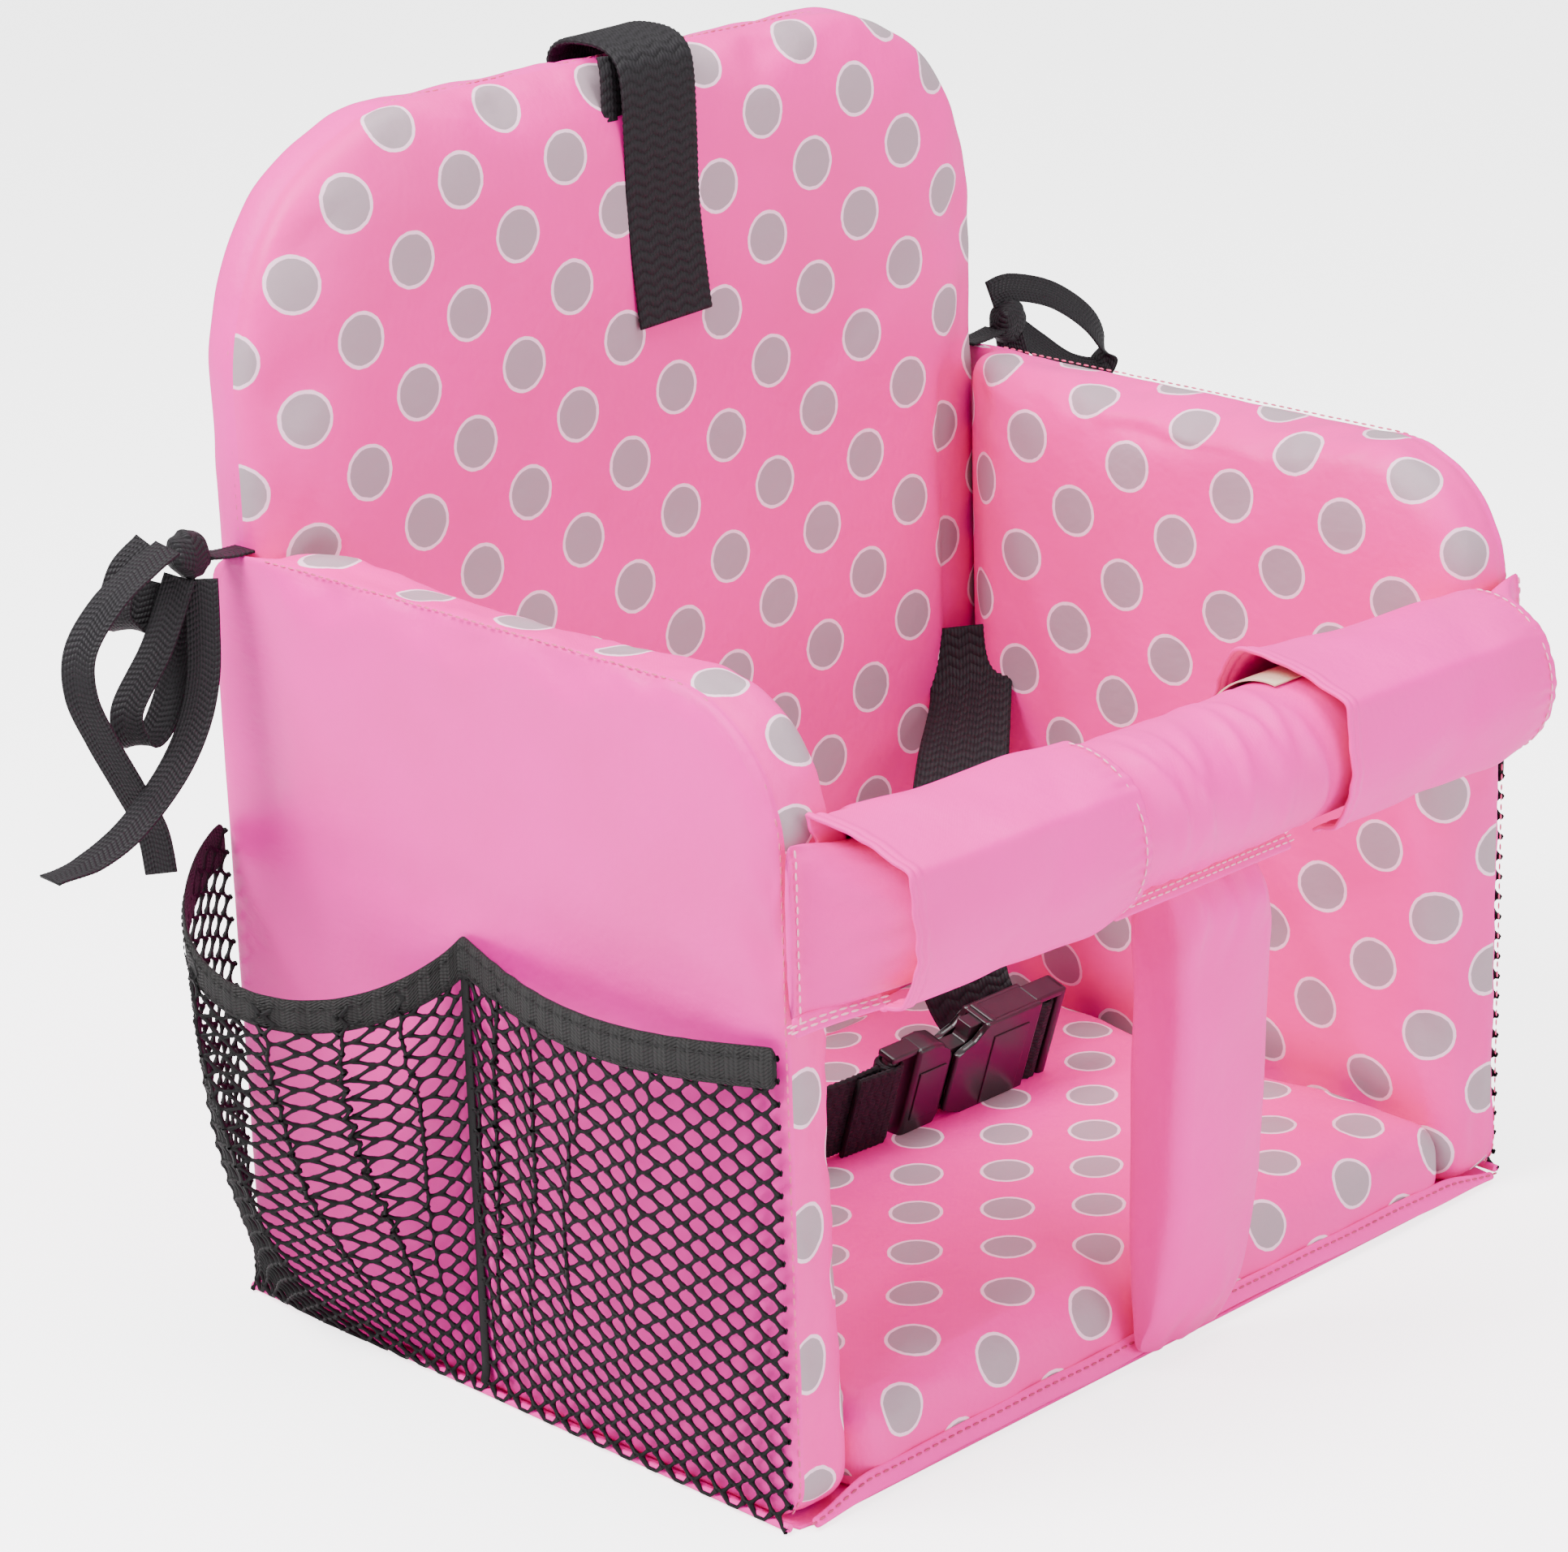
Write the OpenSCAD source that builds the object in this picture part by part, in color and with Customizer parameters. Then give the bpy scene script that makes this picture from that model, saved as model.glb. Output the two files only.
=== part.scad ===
// Soft folding booster seat: padded seat, back and two sides sewn to one base sheet, a padded
// front rail with a crotch pad, a lap belt, a top strap, tie ribbons and a mesh pocket each side.
// Millimetres. +Z is up and the front faces -Y. The origin is the centre of the seat's underside.

/* [Box] */
// Width over the outer faces of the two sides
box_w = 330; // [310:5:350]
// Distance from the origin to the front edge of the seat
seat_front = 120; // [110:1:130]
// Distance from the origin to the front face of the back panel
seat_rear = 104; // [98:1:110]
// Thickness of the padded back and sides
panel_t = 25; // [20:1:28]
// Thickness of the padded seat
seat_t = 27; // [22:1:30]
// Thickness of one layer of cover fabric with its lining
skin = 0.8; // [0.6:0.1:1.2]

/* [Sides] */
// Height of the side panels
side_h = 250; // [235:5:270]
// Radius of the front top corner of a side
side_r = 45; // [30:1:55]
// Thickness of the side where it tapers into the rear corner seam
side_tip = 13; // [10:1:16]

/* [Back] */
// Height of the back panel
back_h = 376; // [350:2:400]
// Width of the back panel
back_w = 321; // [300:1:323]
// Radius of the back's top corners
back_r = 78; // [50:2:100]

/* [Rail] */
// Diameter of the padded middle of the rail
rail_d = 48; // [40:1:50]
// Diameter of the padded stubs that stand out of the sides
stub_d = 45; // [38:1:46]
// Height of the rail's axis above the floor
rail_z = 186; // [175:1:190]
// How far the rail's axis stands in front of the seat's front edge
rail_fwd = 10; // [6:1:14]
// Length of the loose middle of the rail
bar_l = 199; // [180:1:205]
// Width of the crotch pad
pad_w = 42; // [36:2:70]
// Where the crotch pad's middle stands across the rail
pad_x = -3; // [-12:1:12]
// Width of each hook and loop wrap, measured along the rail
wrap_w = 100; // [80:2:104]

/* [Straps and buckle] */
// Width of the belt and top strap webbing
strap_w = 32; // [25:1:38]
// Thickness of the webbing
strap_t = 1.6; // [1.2:0.1:2]
// Length of the top strap's front leaf
leaf_l = 86; // [60:2:110]
// Width of the side release buckle
buckle_w = 40; // [36:1:44]
// Thickness of the buckle's socket
buckle_t = 12; // [10:0.5:13]
// Width of the tie ribbons
tie_w = 10; // [8:1:12]

/* [Pockets] */
// Height of the pocket mouth at the front edge
pocket_h = 150; // [120:5:160]
// How far the rear compartment stands out from the side
pocket_rear = 42; // [25:1:45]
// How far the front compartment stands out from the side
pocket_front = 12; // [9:1:20]

/* [Hidden] */

pink = "hotpink";
dotted = "palevioletred";
webbing = [0.06, 0.06, 0.06];
foam_white = "ivory";
tape_beige = "tan";
tape_black = [0.12, 0.12, 0.12];

gap = 0.3;               // clearance between parts that move apart
over = 1;                // how far a cut runs past a face
sheet_t = 1.2;           // base sheet under all four panels
seam_r = 1.3;            // rolled seam allowance that each panel folds about
seam_out = 1.8;          // distance of a fold seam's axis from the panel's corner
floor_gap = 1.5;         // height of the standing panels' lower edges
half_w = box_w / 2;
inner_x = half_w - panel_t;
tip_x = half_w - side_tip;
y_front = -seat_front;
y_rear = seat_rear + panel_t;
taper_y = seat_rear - 24;     // where a side starts to thin towards its rear corner
rail_y = y_front - rail_fwd;
bar_x = bar_l / 2;
seat_nose = 12;               // radius of the seat's front top edge
side_z = side_h - side_r;
wing_t = 2.8;                 // sewn flange that laps the back's edge
wing_l = 21;

// ---------- general shapes ----------

// Draws a left-hand piece, or its mirror image for the right
module for_side(right) {
    if (right) mirror([1, 0, 0]) children();
    else children();
}

// Extrudes a drawing in (y, z) along x, from x0 to x1
module along_x(x0, x1) {
    translate([x0, 0, 0]) rotate([90, 0, 90]) linear_extrude(height = x1 - x0) children();
}

module box(low, high) {
    translate(low) cube(high - low);
}

// Flat bar outline with round corners, centred
module rounded(w, h, r) {
    square([w - 2 * r, h], center = true);
    square([w, h - 2 * r], center = true);
    for (sx = [-1, 1], sy = [-1, 1]) translate([sx * (w / 2 - r), sy * (h / 2 - r)]) circle(r, $fn = 32);
}

function unit(v) = v / norm(v);

// A point on the smooth curve through the points p, at t from 0 to the last point's number
function on_curve(p, t) =
    let (last = len(p) - 1, i = min(floor(t), last - 1), u = t - i,
         a = p[max(i - 1, 0)], b = p[i], c = p[i + 1], d = p[min(i + 2, last)])
    0.5 * ((2 * b) + (c - a) * u + (2 * a - 5 * b + 4 * c - d) * u * u + (3 * b - a - 3 * c + d) * u * u * u);

function curve(p, steps) = [for (k = [0:steps]) on_curve(p, k * (len(p) - 1) / steps)];

// Flat band of webbing along a route; across is the direction of its width at each end
module ribbon(route, steps, w, t, across0, across1) {
    c = curve(route, steps);
    rings = [for (k = [0:steps])
        let (along = unit(c[min(k + 1, steps)] - c[max(k - 1, 0)]),
             aim = across0 + (across1 - across0) * k / steps,
             wide = unit(aim - (aim * along) * along),
             deep = cross(along, wide))
        [for (s = [[-1, -1], [1, -1], [1, 1], [-1, 1]]) c[k] + wide * s[0] * w / 2 + deep * s[1] * t / 2]];
    pts = [for (r = rings) each r];
    walls = [for (k = [0:steps - 1], q = [0:3])
        let (a = 4 * k + q, b = 4 * k + (q + 1) % 4) each [[a, a + 4, b + 4], [a, b + 4, b]]];
    ends = [[0, 1, 2], [0, 2, 3], [4 * steps, 4 * steps + 2, 4 * steps + 1], [4 * steps, 4 * steps + 3, 4 * steps + 2]];
    polyhedron(pts, concat(walls, ends));
}

// Closed thin wall between two grids of points that have the same rows and columns
module thin_wall(outer, inner) {
    rows = len(outer);
    cols = len(outer[0]);
    n = rows * cols;
    pts = concat([for (r = outer) each r], [for (r = inner) each r]);
    function at(i, j) = i * cols + j;
    faces = [for (i = [0:rows - 2], j = [0:cols - 2])
        let (a = at(i, j), b = at(i, j + 1), c = at(i + 1, j + 1), d = at(i + 1, j))
        each [[a, b, c], [a, c, d], [n + a, n + c, n + b], [n + a, n + d, n + c]]];
    rim = concat(
        [for (j = [0:cols - 2]) each [[at(0, j), n + at(0, j), n + at(0, j + 1)], [at(0, j), n + at(0, j + 1), at(0, j + 1)]]],
        [for (j = [0:cols - 2]) let (r = rows - 1)
            each [[at(r, j), n + at(r, j + 1), n + at(r, j)], [at(r, j), at(r, j + 1), n + at(r, j + 1)]]],
        [for (i = [0:rows - 2]) each [[at(i, 0), n + at(i + 1, 0), n + at(i, 0)], [at(i, 0), at(i + 1, 0), n + at(i + 1, 0)]]],
        [for (i = [0:rows - 2]) let (c = cols - 1)
            each [[at(i, c), n + at(i, c), n + at(i + 1, c)], [at(i, c), n + at(i + 1, c), at(i + 1, c)]]]);
    polyhedron(pts, concat(faces, rim));
}

// ---------- seat ----------

module seat_block(d) {
    top = seat_t - d;
    nose_y = y_front + seat_nose;
    along_x(-inner_x + gap + d, inner_x - gap - d) {
        translate([nose_y, sheet_t]) square([seat_rear - gap - d - nose_y, top - sheet_t]);
        translate([y_front + d, sheet_t]) square([seat_nose, seat_t - seat_nose - sheet_t]);
        translate([nose_y, seat_t - seat_nose]) circle(seat_nose - d, $fn = 48);
    }
}

module seat_plate(d) {
    edge = 8;
    box([-inner_x + edge + d, y_front + edge + d, sheet_t], [inner_x - edge - d, seat_rear - edge - d, sheet_t + 2.5]);
}

module seat_cover_top() {
    color(dotted) difference() {
        seat_block(0);
        seat_block(skin);
    }
}

module seat_cover_bottom() {
    color(pink) box([-half_w, y_front, 0], [half_w, y_rear, sheet_t]);
}

module seat_foam() {
    color(foam_white) difference() {
        seat_block(skin);
        seat_plate(0);
    }
}

module seat_board() {
    color("gainsboro") seat_plate(0);
}

module seam_x(y, x) {
    color(pink) translate([-x, y, seam_out]) rotate([0, 90, 0]) cylinder(r = seam_r, h = 2 * x, $fn = 24);
}

module seam_y(x) {
    color(pink) translate([x, y_front + 2, seam_out]) rotate([-90, 0, 0])
        cylinder(r = seam_r, h = y_rear - y_front - 6, $fn = 24);
}

module seam_front() { seam_x(y_front - seam_out, half_w - 4); }
module seam_rear() { seam_x(y_rear + seam_out, back_w / 2 - 2); }
module seam_left() { seam_y(-half_w - seam_out); }
module seam_right() { seam_y(half_w + seam_out); }

// ---------- back ----------

module back_slab(d, thick0, thick1) {
    w = back_w / 2 - d;
    low = floor_gap + d;
    translate([0, thick1, 0]) rotate([90, 0, 0]) linear_extrude(height = thick1 - thick0) {
        translate([-w, low]) square([2 * w, back_h - back_r - low]);
        translate([-back_w / 2 + back_r, low]) square([back_w - 2 * back_r, back_h - d - low]);
        for (s = [-1, 1]) translate([s * (back_w / 2 - back_r), back_h - back_r]) circle(back_r - d, $fn = 96);
    }
}

module back_front_half() {
    box([-half_w, seat_rear - over, 0], [half_w, seat_rear + 3, back_h + over]);
}

module back_shell() {
    difference() {
        back_slab(0, seat_rear, y_rear);
        back_slab(skin, seat_rear + skin, y_rear - skin);
    }
}

module back_cover_front() {
    color(dotted) intersection() {
        back_shell();
        back_front_half();
    }
}

module back_cover_rear() {
    color(pink) difference() {
        back_shell();
        back_front_half();
    }
}

module back_plate() { back_slab(9, y_rear - 5, y_rear - 2.5); }

module back_foam() {
    color(foam_white) difference() {
        back_slab(skin, seat_rear + skin, y_rear - skin);
        back_plate();
    }
}

module back_board() { color("gainsboro") back_plate(); }

// ---------- top strap: sewn behind the back, folded over its top edge ----------

strap_x = 5;
strap_mid = y_rear;                   // the leaf flips about this line at the top rear edge
strap_top = back_h + 1.2;
leaf_y = seat_rear - 4.5;

module strap_anchor() {
    color(webbing) box([strap_x - strap_w / 2, y_rear + gap, strap_top - 75],
        [strap_x + strap_w / 2, y_rear + gap + strap_t, strap_top - 1.2]);
}

module strap_under_leaf() {
    color(webbing) box([strap_x - 5 - strap_w / 2, seat_rear - gap - strap_t, strap_top - leaf_l - 5],
        [strap_x - 5 + strap_w / 2, seat_rear - gap, strap_top - 2]);
}

module strap_loop_tape() {
    color(tape_black) box([strap_x - 5 - 12, seat_rear - gap - strap_t - 0.5, strap_top - leaf_l],
        [strap_x - 5 + 12, seat_rear - gap - strap_t, strap_top - 35]);
}

module strap_leaf() {
    x0 = strap_x - strap_w / 2;
    x1 = strap_x + strap_w / 2;
    color(webbing) {
        box([x0, leaf_y, strap_top], [x1, strap_mid, strap_top + strap_t]);
        box([x0, leaf_y, strap_top - leaf_l], [x1, leaf_y + strap_t, strap_top + strap_t]);
        translate([x0, strap_mid, strap_top + strap_t / 2]) rotate([0, 90, 0])
            cylinder(r = strap_t / 2, h = strap_w, $fn = 24);
    }
}

module strap_hook_tape() {
    color(tape_black) box([strap_x - 12, leaf_y + strap_t, strap_top - leaf_l + 3],
        [strap_x + 12, leaf_y + strap_t + 0.4, strap_top - 35]);
}

// ---------- sides, drawn on the left ----------

// Outline of a side seen from the left, drawn in (y, z), with d taken off all round
module side_outline(d) {
    rear = seat_rear - gap - d;
    low = floor_gap + d;
    curve_y = y_front + side_r;
    translate([y_front + d, low]) square([side_r, side_z - low]);
    translate([curve_y, low]) square([rear - curve_y, side_h - d - low]);
    translate([curve_y, side_z]) circle(side_r - d, $fn = 72);
}

module side_block(d) {
    rear = seat_rear - gap - d;
    intersection() {
        linear_extrude(height = side_h + over) polygon([
            [-half_w + d, y_front + d], [-inner_x - d, y_front + d], [-inner_x - d, taper_y],
            [-tip_x - d, rear], [-half_w + d, rear]]);
        along_x(-half_w - over, -inner_x + over) side_outline(d);
    }
}

outer_cut = 3;       // the plain outer fabric starts this far in from the outer face

module side_outer_half() {
    box([-half_w - over, y_front - over, 0], [-half_w + outer_cut, seat_rear, side_h + over]);
}

module side_shell() {
    difference() {
        side_block(0);
        side_block(skin);
    }
}

module side_cover_inner(right) {
    color(dotted) for_side(right) difference() {
        side_shell();
        side_outer_half();
    }
}

// The plain outer fabric, with the sewn flange that laps the edge of the back
module side_cover_outer(right) {
    color(pink) for_side(right) {
        intersection() {
            side_shell();
            side_outer_half();
        }
        box([-half_w, seat_rear - gap, floor_gap + 2], [-half_w + wing_t, seat_rear + wing_l, side_h]);
    }
}

module side_plate() { along_x(-half_w + 4, -half_w + 6.5) side_outline(9); }

module side_foam(right) {
    color(foam_white) for_side(right) difference() {
        side_block(skin);
        side_plate();
    }
}

module side_board(right) { color("gainsboro") for_side(right) side_plate(); }

module side_left_cover_inner() { side_cover_inner(false); }
module side_left_cover_outer() { side_cover_outer(false); }
module side_left_foam() { side_foam(false); }
module side_left_board() { side_board(false); }
module side_right_cover_inner() { side_cover_inner(true); }
module side_right_cover_outer() { side_cover_outer(true); }
module side_right_foam() { side_foam(true); }
module side_right_board() { side_board(true); }

// ---------- mesh pockets ----------

pocket_y0 = y_front + 2;
pocket_y1 = seat_rear + wing_l - 1;
pocket_seam = 13;             // the stitched line between the two compartments
pocket_floor = 4.5;
mesh_t = 0.9;
binding_h = 12;
binding_t = 2.2;

// How far the mouth stands out from the side at y
function pocket_out(y) = y < pocket_seam
    ? pocket_front * sin(180 * (y - pocket_y0) / (pocket_seam - pocket_y0))
    : pocket_rear * pow(sin(180 * pow((y - pocket_seam) / (pocket_y1 - pocket_seam), 1.5)), 0.8);

// Height of the mouth at y: highest at the rear edge, level in front, slack in the rear compartment
function pocket_mouth(y) = y < pocket_seam
    ? pocket_h - 4 * sin(180 * (y - pocket_y0) / (pocket_seam - pocket_y0))
    : let (t = (y - pocket_seam) / (pocket_y1 - pocket_seam))
        pocket_h + 10 * t * t - 24 * pow(sin(180 * pow(t, 0.75)), 1.2);

// Outward swell at height share h of the mouth, none at the floor
function pocket_swell(h) = sin(90 * pow(h, 0.7));

function pocket_point(y, h, off) =
    [-half_w - 0.15 - off - pocket_out(y) * pocket_swell(h), y, pocket_floor + (pocket_mouth(y) - pocket_floor) * h];

module pocket_band(h0, h1, rows, cols, off, t) {
    function grid(o) = [for (i = [0:rows]) [for (j = [0:cols])
        pocket_point(pocket_y0 + (pocket_y1 - pocket_y0) * j / cols, h0 + (h1 - h0) * i / rows, o)]];
    thin_wall(grid(off + t), grid(off));
}

module pocket_mesh(right) {
    color([0.15, 0.15, 0.15]) for_side(right) pocket_band(0, 1, 8, 26, 0, mesh_t);
}

module pocket_binding(right) {
    share = 1 - binding_h / pocket_h;
    color(webbing) for_side(right) pocket_band(share, 1.004, 2, 26, mesh_t, binding_t - mesh_t);
}

module pocket_left_mesh() { pocket_mesh(false); }
module pocket_left_binding() { pocket_binding(false); }
module pocket_right_mesh() { pocket_mesh(true); }
module pocket_right_binding() { pocket_binding(true); }

// ---------- tie ribbons at the rear top corners ----------

tie_y = 112;
tie_t = 0.9;
tie_across = [0.72, -0.69, 0];
tie_flat = [0, 0.3, 1];
left_knot = [[-190, tie_y, 260], [-179, tie_y, 246]];
left_loop = [[-186, 111, 247], [-197, 110, 228], [-210, 110, 211], [-207, 110, 200], [-198, 111, 203], [-188, 112, 220], [-180, 113, 240]];
left_short_loop = [[-193, 116, 258], [-202, 117, 251], [-206, 118, 238], [-198, 119, 233], [-192, 119, 246]];
left_short = [[-192, 108, 258], [-203, 107, 254], [-217, 106, 247], [-228, 106, 235], [-229, 106, 221], [-222, 107, 205],
    [-213, 108, 188], [-205, 109, 172], [-202, 110, 157]];
left_long = [[-181, 107, 246], [-183, 105, 232], [-186, 103, 217], [-192, 102, 203], [-203, 101, 190], [-220, 100, 178],
    [-236, 100, 172], [-250, 100, 171]];
right_loop = [[176, 114, 263], [186, 113, 264], [205, 111, 258], [222, 109, 246], [229, 108, 234], [226, 108, 227],
    [212, 109, 231], [198, 111, 241], [186, 113, 250], [178, 114, 252]];
right_long = [[186, 116, 254], [190, 117, 240], [193, 118, 222], [197, 119, 204], [203, 120, 187], [206, 121, 170]];
right_short = [[182, 112, 252], [184, 109, 238], [189, 107, 222], [192, 106, 206], [190, 105, 190], [192, 104, 176]];

module tie_knot(x, s) {
    color(webbing) {
        translate([x, tie_y, 253]) rotate([0, s * 25, 0]) rotate([90, 0, 0])
            translate([0, 0, -5]) linear_extrude(height = 9) rounded(13, 17, 3);
        box([min(s * (half_w - 1), s * (half_w + 8)), tie_y - 4, 247.5], [max(s * (half_w - 1), s * (half_w + 8)), tie_y + 4, 248.6]);
    }
}

module tie_left_knot() {
    color(webbing) difference() {
        tie_knot(-182, -1);
        box([-half_w, tie_y - 10, 240], [-half_w + 5, tie_y + 10, 260]);
    }
}

module tie_right_knot() {
    color(webbing) difference() {
        tie_knot(182, 1);
        box([half_w - 5, tie_y - 10, 240], [half_w, tie_y + 10, 260]);
    }
}

module tie_left_loops() {
    color(webbing) difference() {
        union() {
            ribbon(left_loop, 18, tie_w, tie_t, tie_across, tie_across);
            ribbon(left_short_loop, 12, tie_w, tie_t, tie_across, tie_across);
        }
        tie_knot(-182, -1);
    }
}

module tie_right_loops() {
    color(webbing) difference() {
        ribbon(right_loop, 24, tie_w, tie_t, tie_flat, tie_flat);
        tie_knot(182, 1);
    }
}

module tie_left_tail_short() { color(webbing) ribbon(left_short, 20, tie_w, tie_t, tie_across, tie_across); }
module tie_left_tail_long() { color(webbing) ribbon(left_long, 18, tie_w, tie_t, tie_across, tie_across); }
module tie_right_tail_long() { color(webbing) ribbon(right_long, 14, tie_w, tie_t, tie_across, tie_across); }
module tie_right_tail_short() { color(webbing) ribbon(right_short, 14, tie_w, tie_t, tie_across, tie_across); }

// ---------- front rail ----------

// Cylinder along the rail's axis
module bar(r, x0, x1) {
    translate([x0, rail_y, rail_z]) rotate([0, 90, 0]) cylinder(r = r, h = x1 - x0, $fn = 72);
}

// Part of a tube round the rail's axis; 0 is below, 90 behind, 180 above and 270 in front
module arc_band(r0, r1, x0, x1, a0, a1) {
    translate([x0, rail_y, rail_z]) rotate([0, 90, 0]) rotate([0, 0, a0])
        rotate_extrude(angle = a1 - a0, $fn = 72) translate([r0, 0]) square([r1 - r0, x1 - x0]);
}

// The room that a side's front edge takes, on the left
module side_room(clear) {
    box([-half_w - 40, y_front - clear, 0], [-inner_x + clear, seat_rear, side_h]);
}

stub_r = stub_d / 2;
rail_r = rail_d / 2;
stub_end = bar_x + 1;

module stub_cover(right) {
    color(pink) for_side(right) difference() {
        bar(stub_r, -half_w, -stub_end);
        bar(stub_r - skin, -half_w + skin, -stub_end - skin);
        side_room(0);
    }
}

module stub_foam(right) {
    color(foam_white) for_side(right) difference() {
        bar(stub_r - skin, -half_w + skin, -stub_end - skin);
        side_room(0);
    }
}

module stub_left_cover() { stub_cover(false); }
module stub_right_cover() { stub_cover(true); }
module stub_left_foam() { stub_foam(false); }
module stub_right_foam() { stub_foam(true); }
module stub_left_loop_tape() { color(tape_beige) arc_band(stub_r, stub_r + 0.5, -136, -stub_end - 3, 60, 130); }

module rail_cover() {
    color(pink) difference() {
        bar(rail_r, -bar_x, bar_x);
        bar(rail_r - skin, -bar_x + skin, bar_x - skin);
    }
}

rod_r = 7;

module rail_foam() {
    color(foam_white) difference() {
        bar(rail_r - skin, -bar_x + skin, bar_x - skin);
        bar(rod_r, -bar_x + 8, bar_x - 8);
    }
}

module rail_rod() { color("gainsboro") bar(rod_r, -bar_x + 8, bar_x - 8); }
module rail_loop_tape() { color(tape_beige) arc_band(rail_r, rail_r + 0.5, 30, bar_x - 5, 90, 190); }

// ---------- crotch pad: from the rail's underside to the seat's front seam ----------

module crotch_block(d) {
    difference() {
        along_x(pad_x - pad_w / 2 + d, pad_x + pad_w / 2 - d) polygon([
            [y_front - 2.6 - d, 4 + d], [y_front - 7 + d, 3.6 + d], [y_front - 15 + d, 20], [y_front - 22 + d, 60],
            [y_front - 25 + d, 120], [y_front - 25.5 + d, rail_z - 10], [y_front - 2.6 - d, rail_z - 10]]);
        bar(rail_r + d, -bar_x, bar_x);
    }
}

module crotch_cover() {
    color(pink) difference() {
        crotch_block(0);
        crotch_block(skin);
    }
}

module crotch_foam() { color(foam_white) crotch_block(skin); }

// ---------- hook and loop wraps round the rail's two joints ----------

wrap_r0 = rail_r + 1.2;
wrap_r1 = wrap_r0 + 2.4;
wrap_open = 60;            // angle of the free lip, behind and below the rail
wrap_hinge = 330;          // angle of the sewn edge, in front and below
wrap_left_x = -150;
wrap_right_x = 38;

module wrap_roll(x0, x1) {
    r = (wrap_r0 + wrap_r1) / 2;
    translate([x0, rail_y - r * sin(360 - wrap_hinge), rail_z - r * cos(wrap_hinge)]) rotate([0, 90, 0])
        cylinder(r = (wrap_r1 - wrap_r0) / 2, h = x1 - x0, $fn = 24);
}

module wrap(x0, x1) {
    color(pink) difference() {
        union() {
            arc_band(wrap_r0, wrap_r1, x0, x1, wrap_open, wrap_hinge);
            wrap_roll(x0, x1);
        }
        for_side(false) side_room(2 * gap);
        for_side(true) side_room(2 * gap);
    }
}

module wrap_left() { wrap(wrap_left_x, wrap_left_x + wrap_w); }
module wrap_right() { wrap(wrap_right_x, wrap_right_x + wrap_w + 4); }
module wrap_left_hook_tape() {
    color(tape_black) arc_band(wrap_r0 - 0.4, wrap_r0, -136, wrap_left_x + wrap_w - 8, wrap_open + 2, 110);
}
module wrap_right_hook_tape() {
    color(tape_black) arc_band(wrap_r0 - 0.4, wrap_r0, wrap_right_x + 4, 134, wrap_open + 2, 110);
}

// ---------- side release buckle, drawn along x with its width along z ----------

buckle_at = [33, 2, 48];
buckle_tilt = 18;
socket_x0 = -10;              // the socket's mouth
socket_l = 48;
plug_x0 = -38;
plug_l = 23;
wall = 2;
prong_z = 11.2;               // height of a prong's root above the buckle's middle
prong_y = 6.2;                // thickness of a prong
bar_back = 4;                 // thickness of the bars that the webbing goes round
slot_l = 5.6;

module buckle_place() {
    translate(buckle_at) rotate([buckle_tilt, 0, 0]) children();
}

// Extrudes a drawing in (x, z) through the buckle's thickness
module buckle_plate(t) {
    translate([0, t / 2, 0]) rotate([90, 0, 0]) linear_extrude(height = t) children();
}

module buckle_socket() {
    mid = socket_x0 + socket_l / 2;
    end = socket_x0 + socket_l;
    half = buckle_w / 2;
    color(webbing) buckle_place() difference() {
        buckle_plate(buckle_t) translate([mid, 0]) rounded(socket_l, buckle_w, 4);
        box([socket_x0 - over, -buckle_t / 2 + wall, -half + 2.4], [socket_x0 + 33, buckle_t / 2 - wall, half - 2.4]);
        for (s = [-1, 1]) translate([0, 0, s * half])
            box([socket_x0 + 5, -buckle_t, -7], [socket_x0 + 19, buckle_t, 7]);
        box([end - 4 - slot_l, -buckle_t, -half + 3.4], [end - 4, buckle_t, half - 3.4]);
        for (s = [-1, 1]) translate([0, s * (buckle_t / 2 + bar_back / 2), 0])
            box([end - 4 - slot_l, -buckle_t / 2, -half + 3.4], [end + over, buckle_t / 2, half - 3.4]);
    }
}

module buckle_plug() {
    mid = plug_x0 + plug_l / 2;
    half = buckle_w / 2;
    color(webbing) buckle_place() difference() {
        union() {
            buckle_plate(9) translate([mid, 0]) rounded(plug_l, buckle_w, 5);
            buckle_plate(5) translate([socket_x0 + 9, 0]) rounded(32, 8, 2);
        }
        box([plug_x0 + 4, -buckle_t, -half + 3.4], [plug_x0 + 4 + slot_l, buckle_t, half - 3.4]);
        for (s = [-1, 1]) translate([0, s * (buckle_t / 2 + bar_back / 2), 0])
            box([plug_x0 - over, -buckle_t / 2, -half + 3.4], [plug_x0 + 4 + slot_l, buckle_t / 2, half - 3.4]);
        for (s = [-1, 1]) translate([plug_x0 + plug_l + 1, 0, s * prong_z]) rotate([90, 0, 0])
            cylinder(r = 2.4, h = buckle_t, center = true, $fn = 32);
    }
}

// A springy arm with its round pad; it turns about its root inside the plug
module prong(s) {
    root = plug_x0 + plug_l + 1;
    pad = socket_x0 + 12;
    color(webbing) buckle_place() buckle_plate(prong_y) {
        translate([root, s * prong_z]) circle(1.7, $fn = 32);
        translate([root, s * prong_z - 1.6]) square([pad - root, 3.2]);
        translate([pad, s * prong_z]) circle(5, $fn = 32);
        translate([pad - 4, min(s * prong_z, s * (buckle_w / 2 - 1.2))]) square([8, buckle_w / 2 - 1.2 - prong_z]);
    }
}

module prong_upper() { prong(1); }
module prong_lower() { prong(-1); }

// ---------- lap belt ----------

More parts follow.
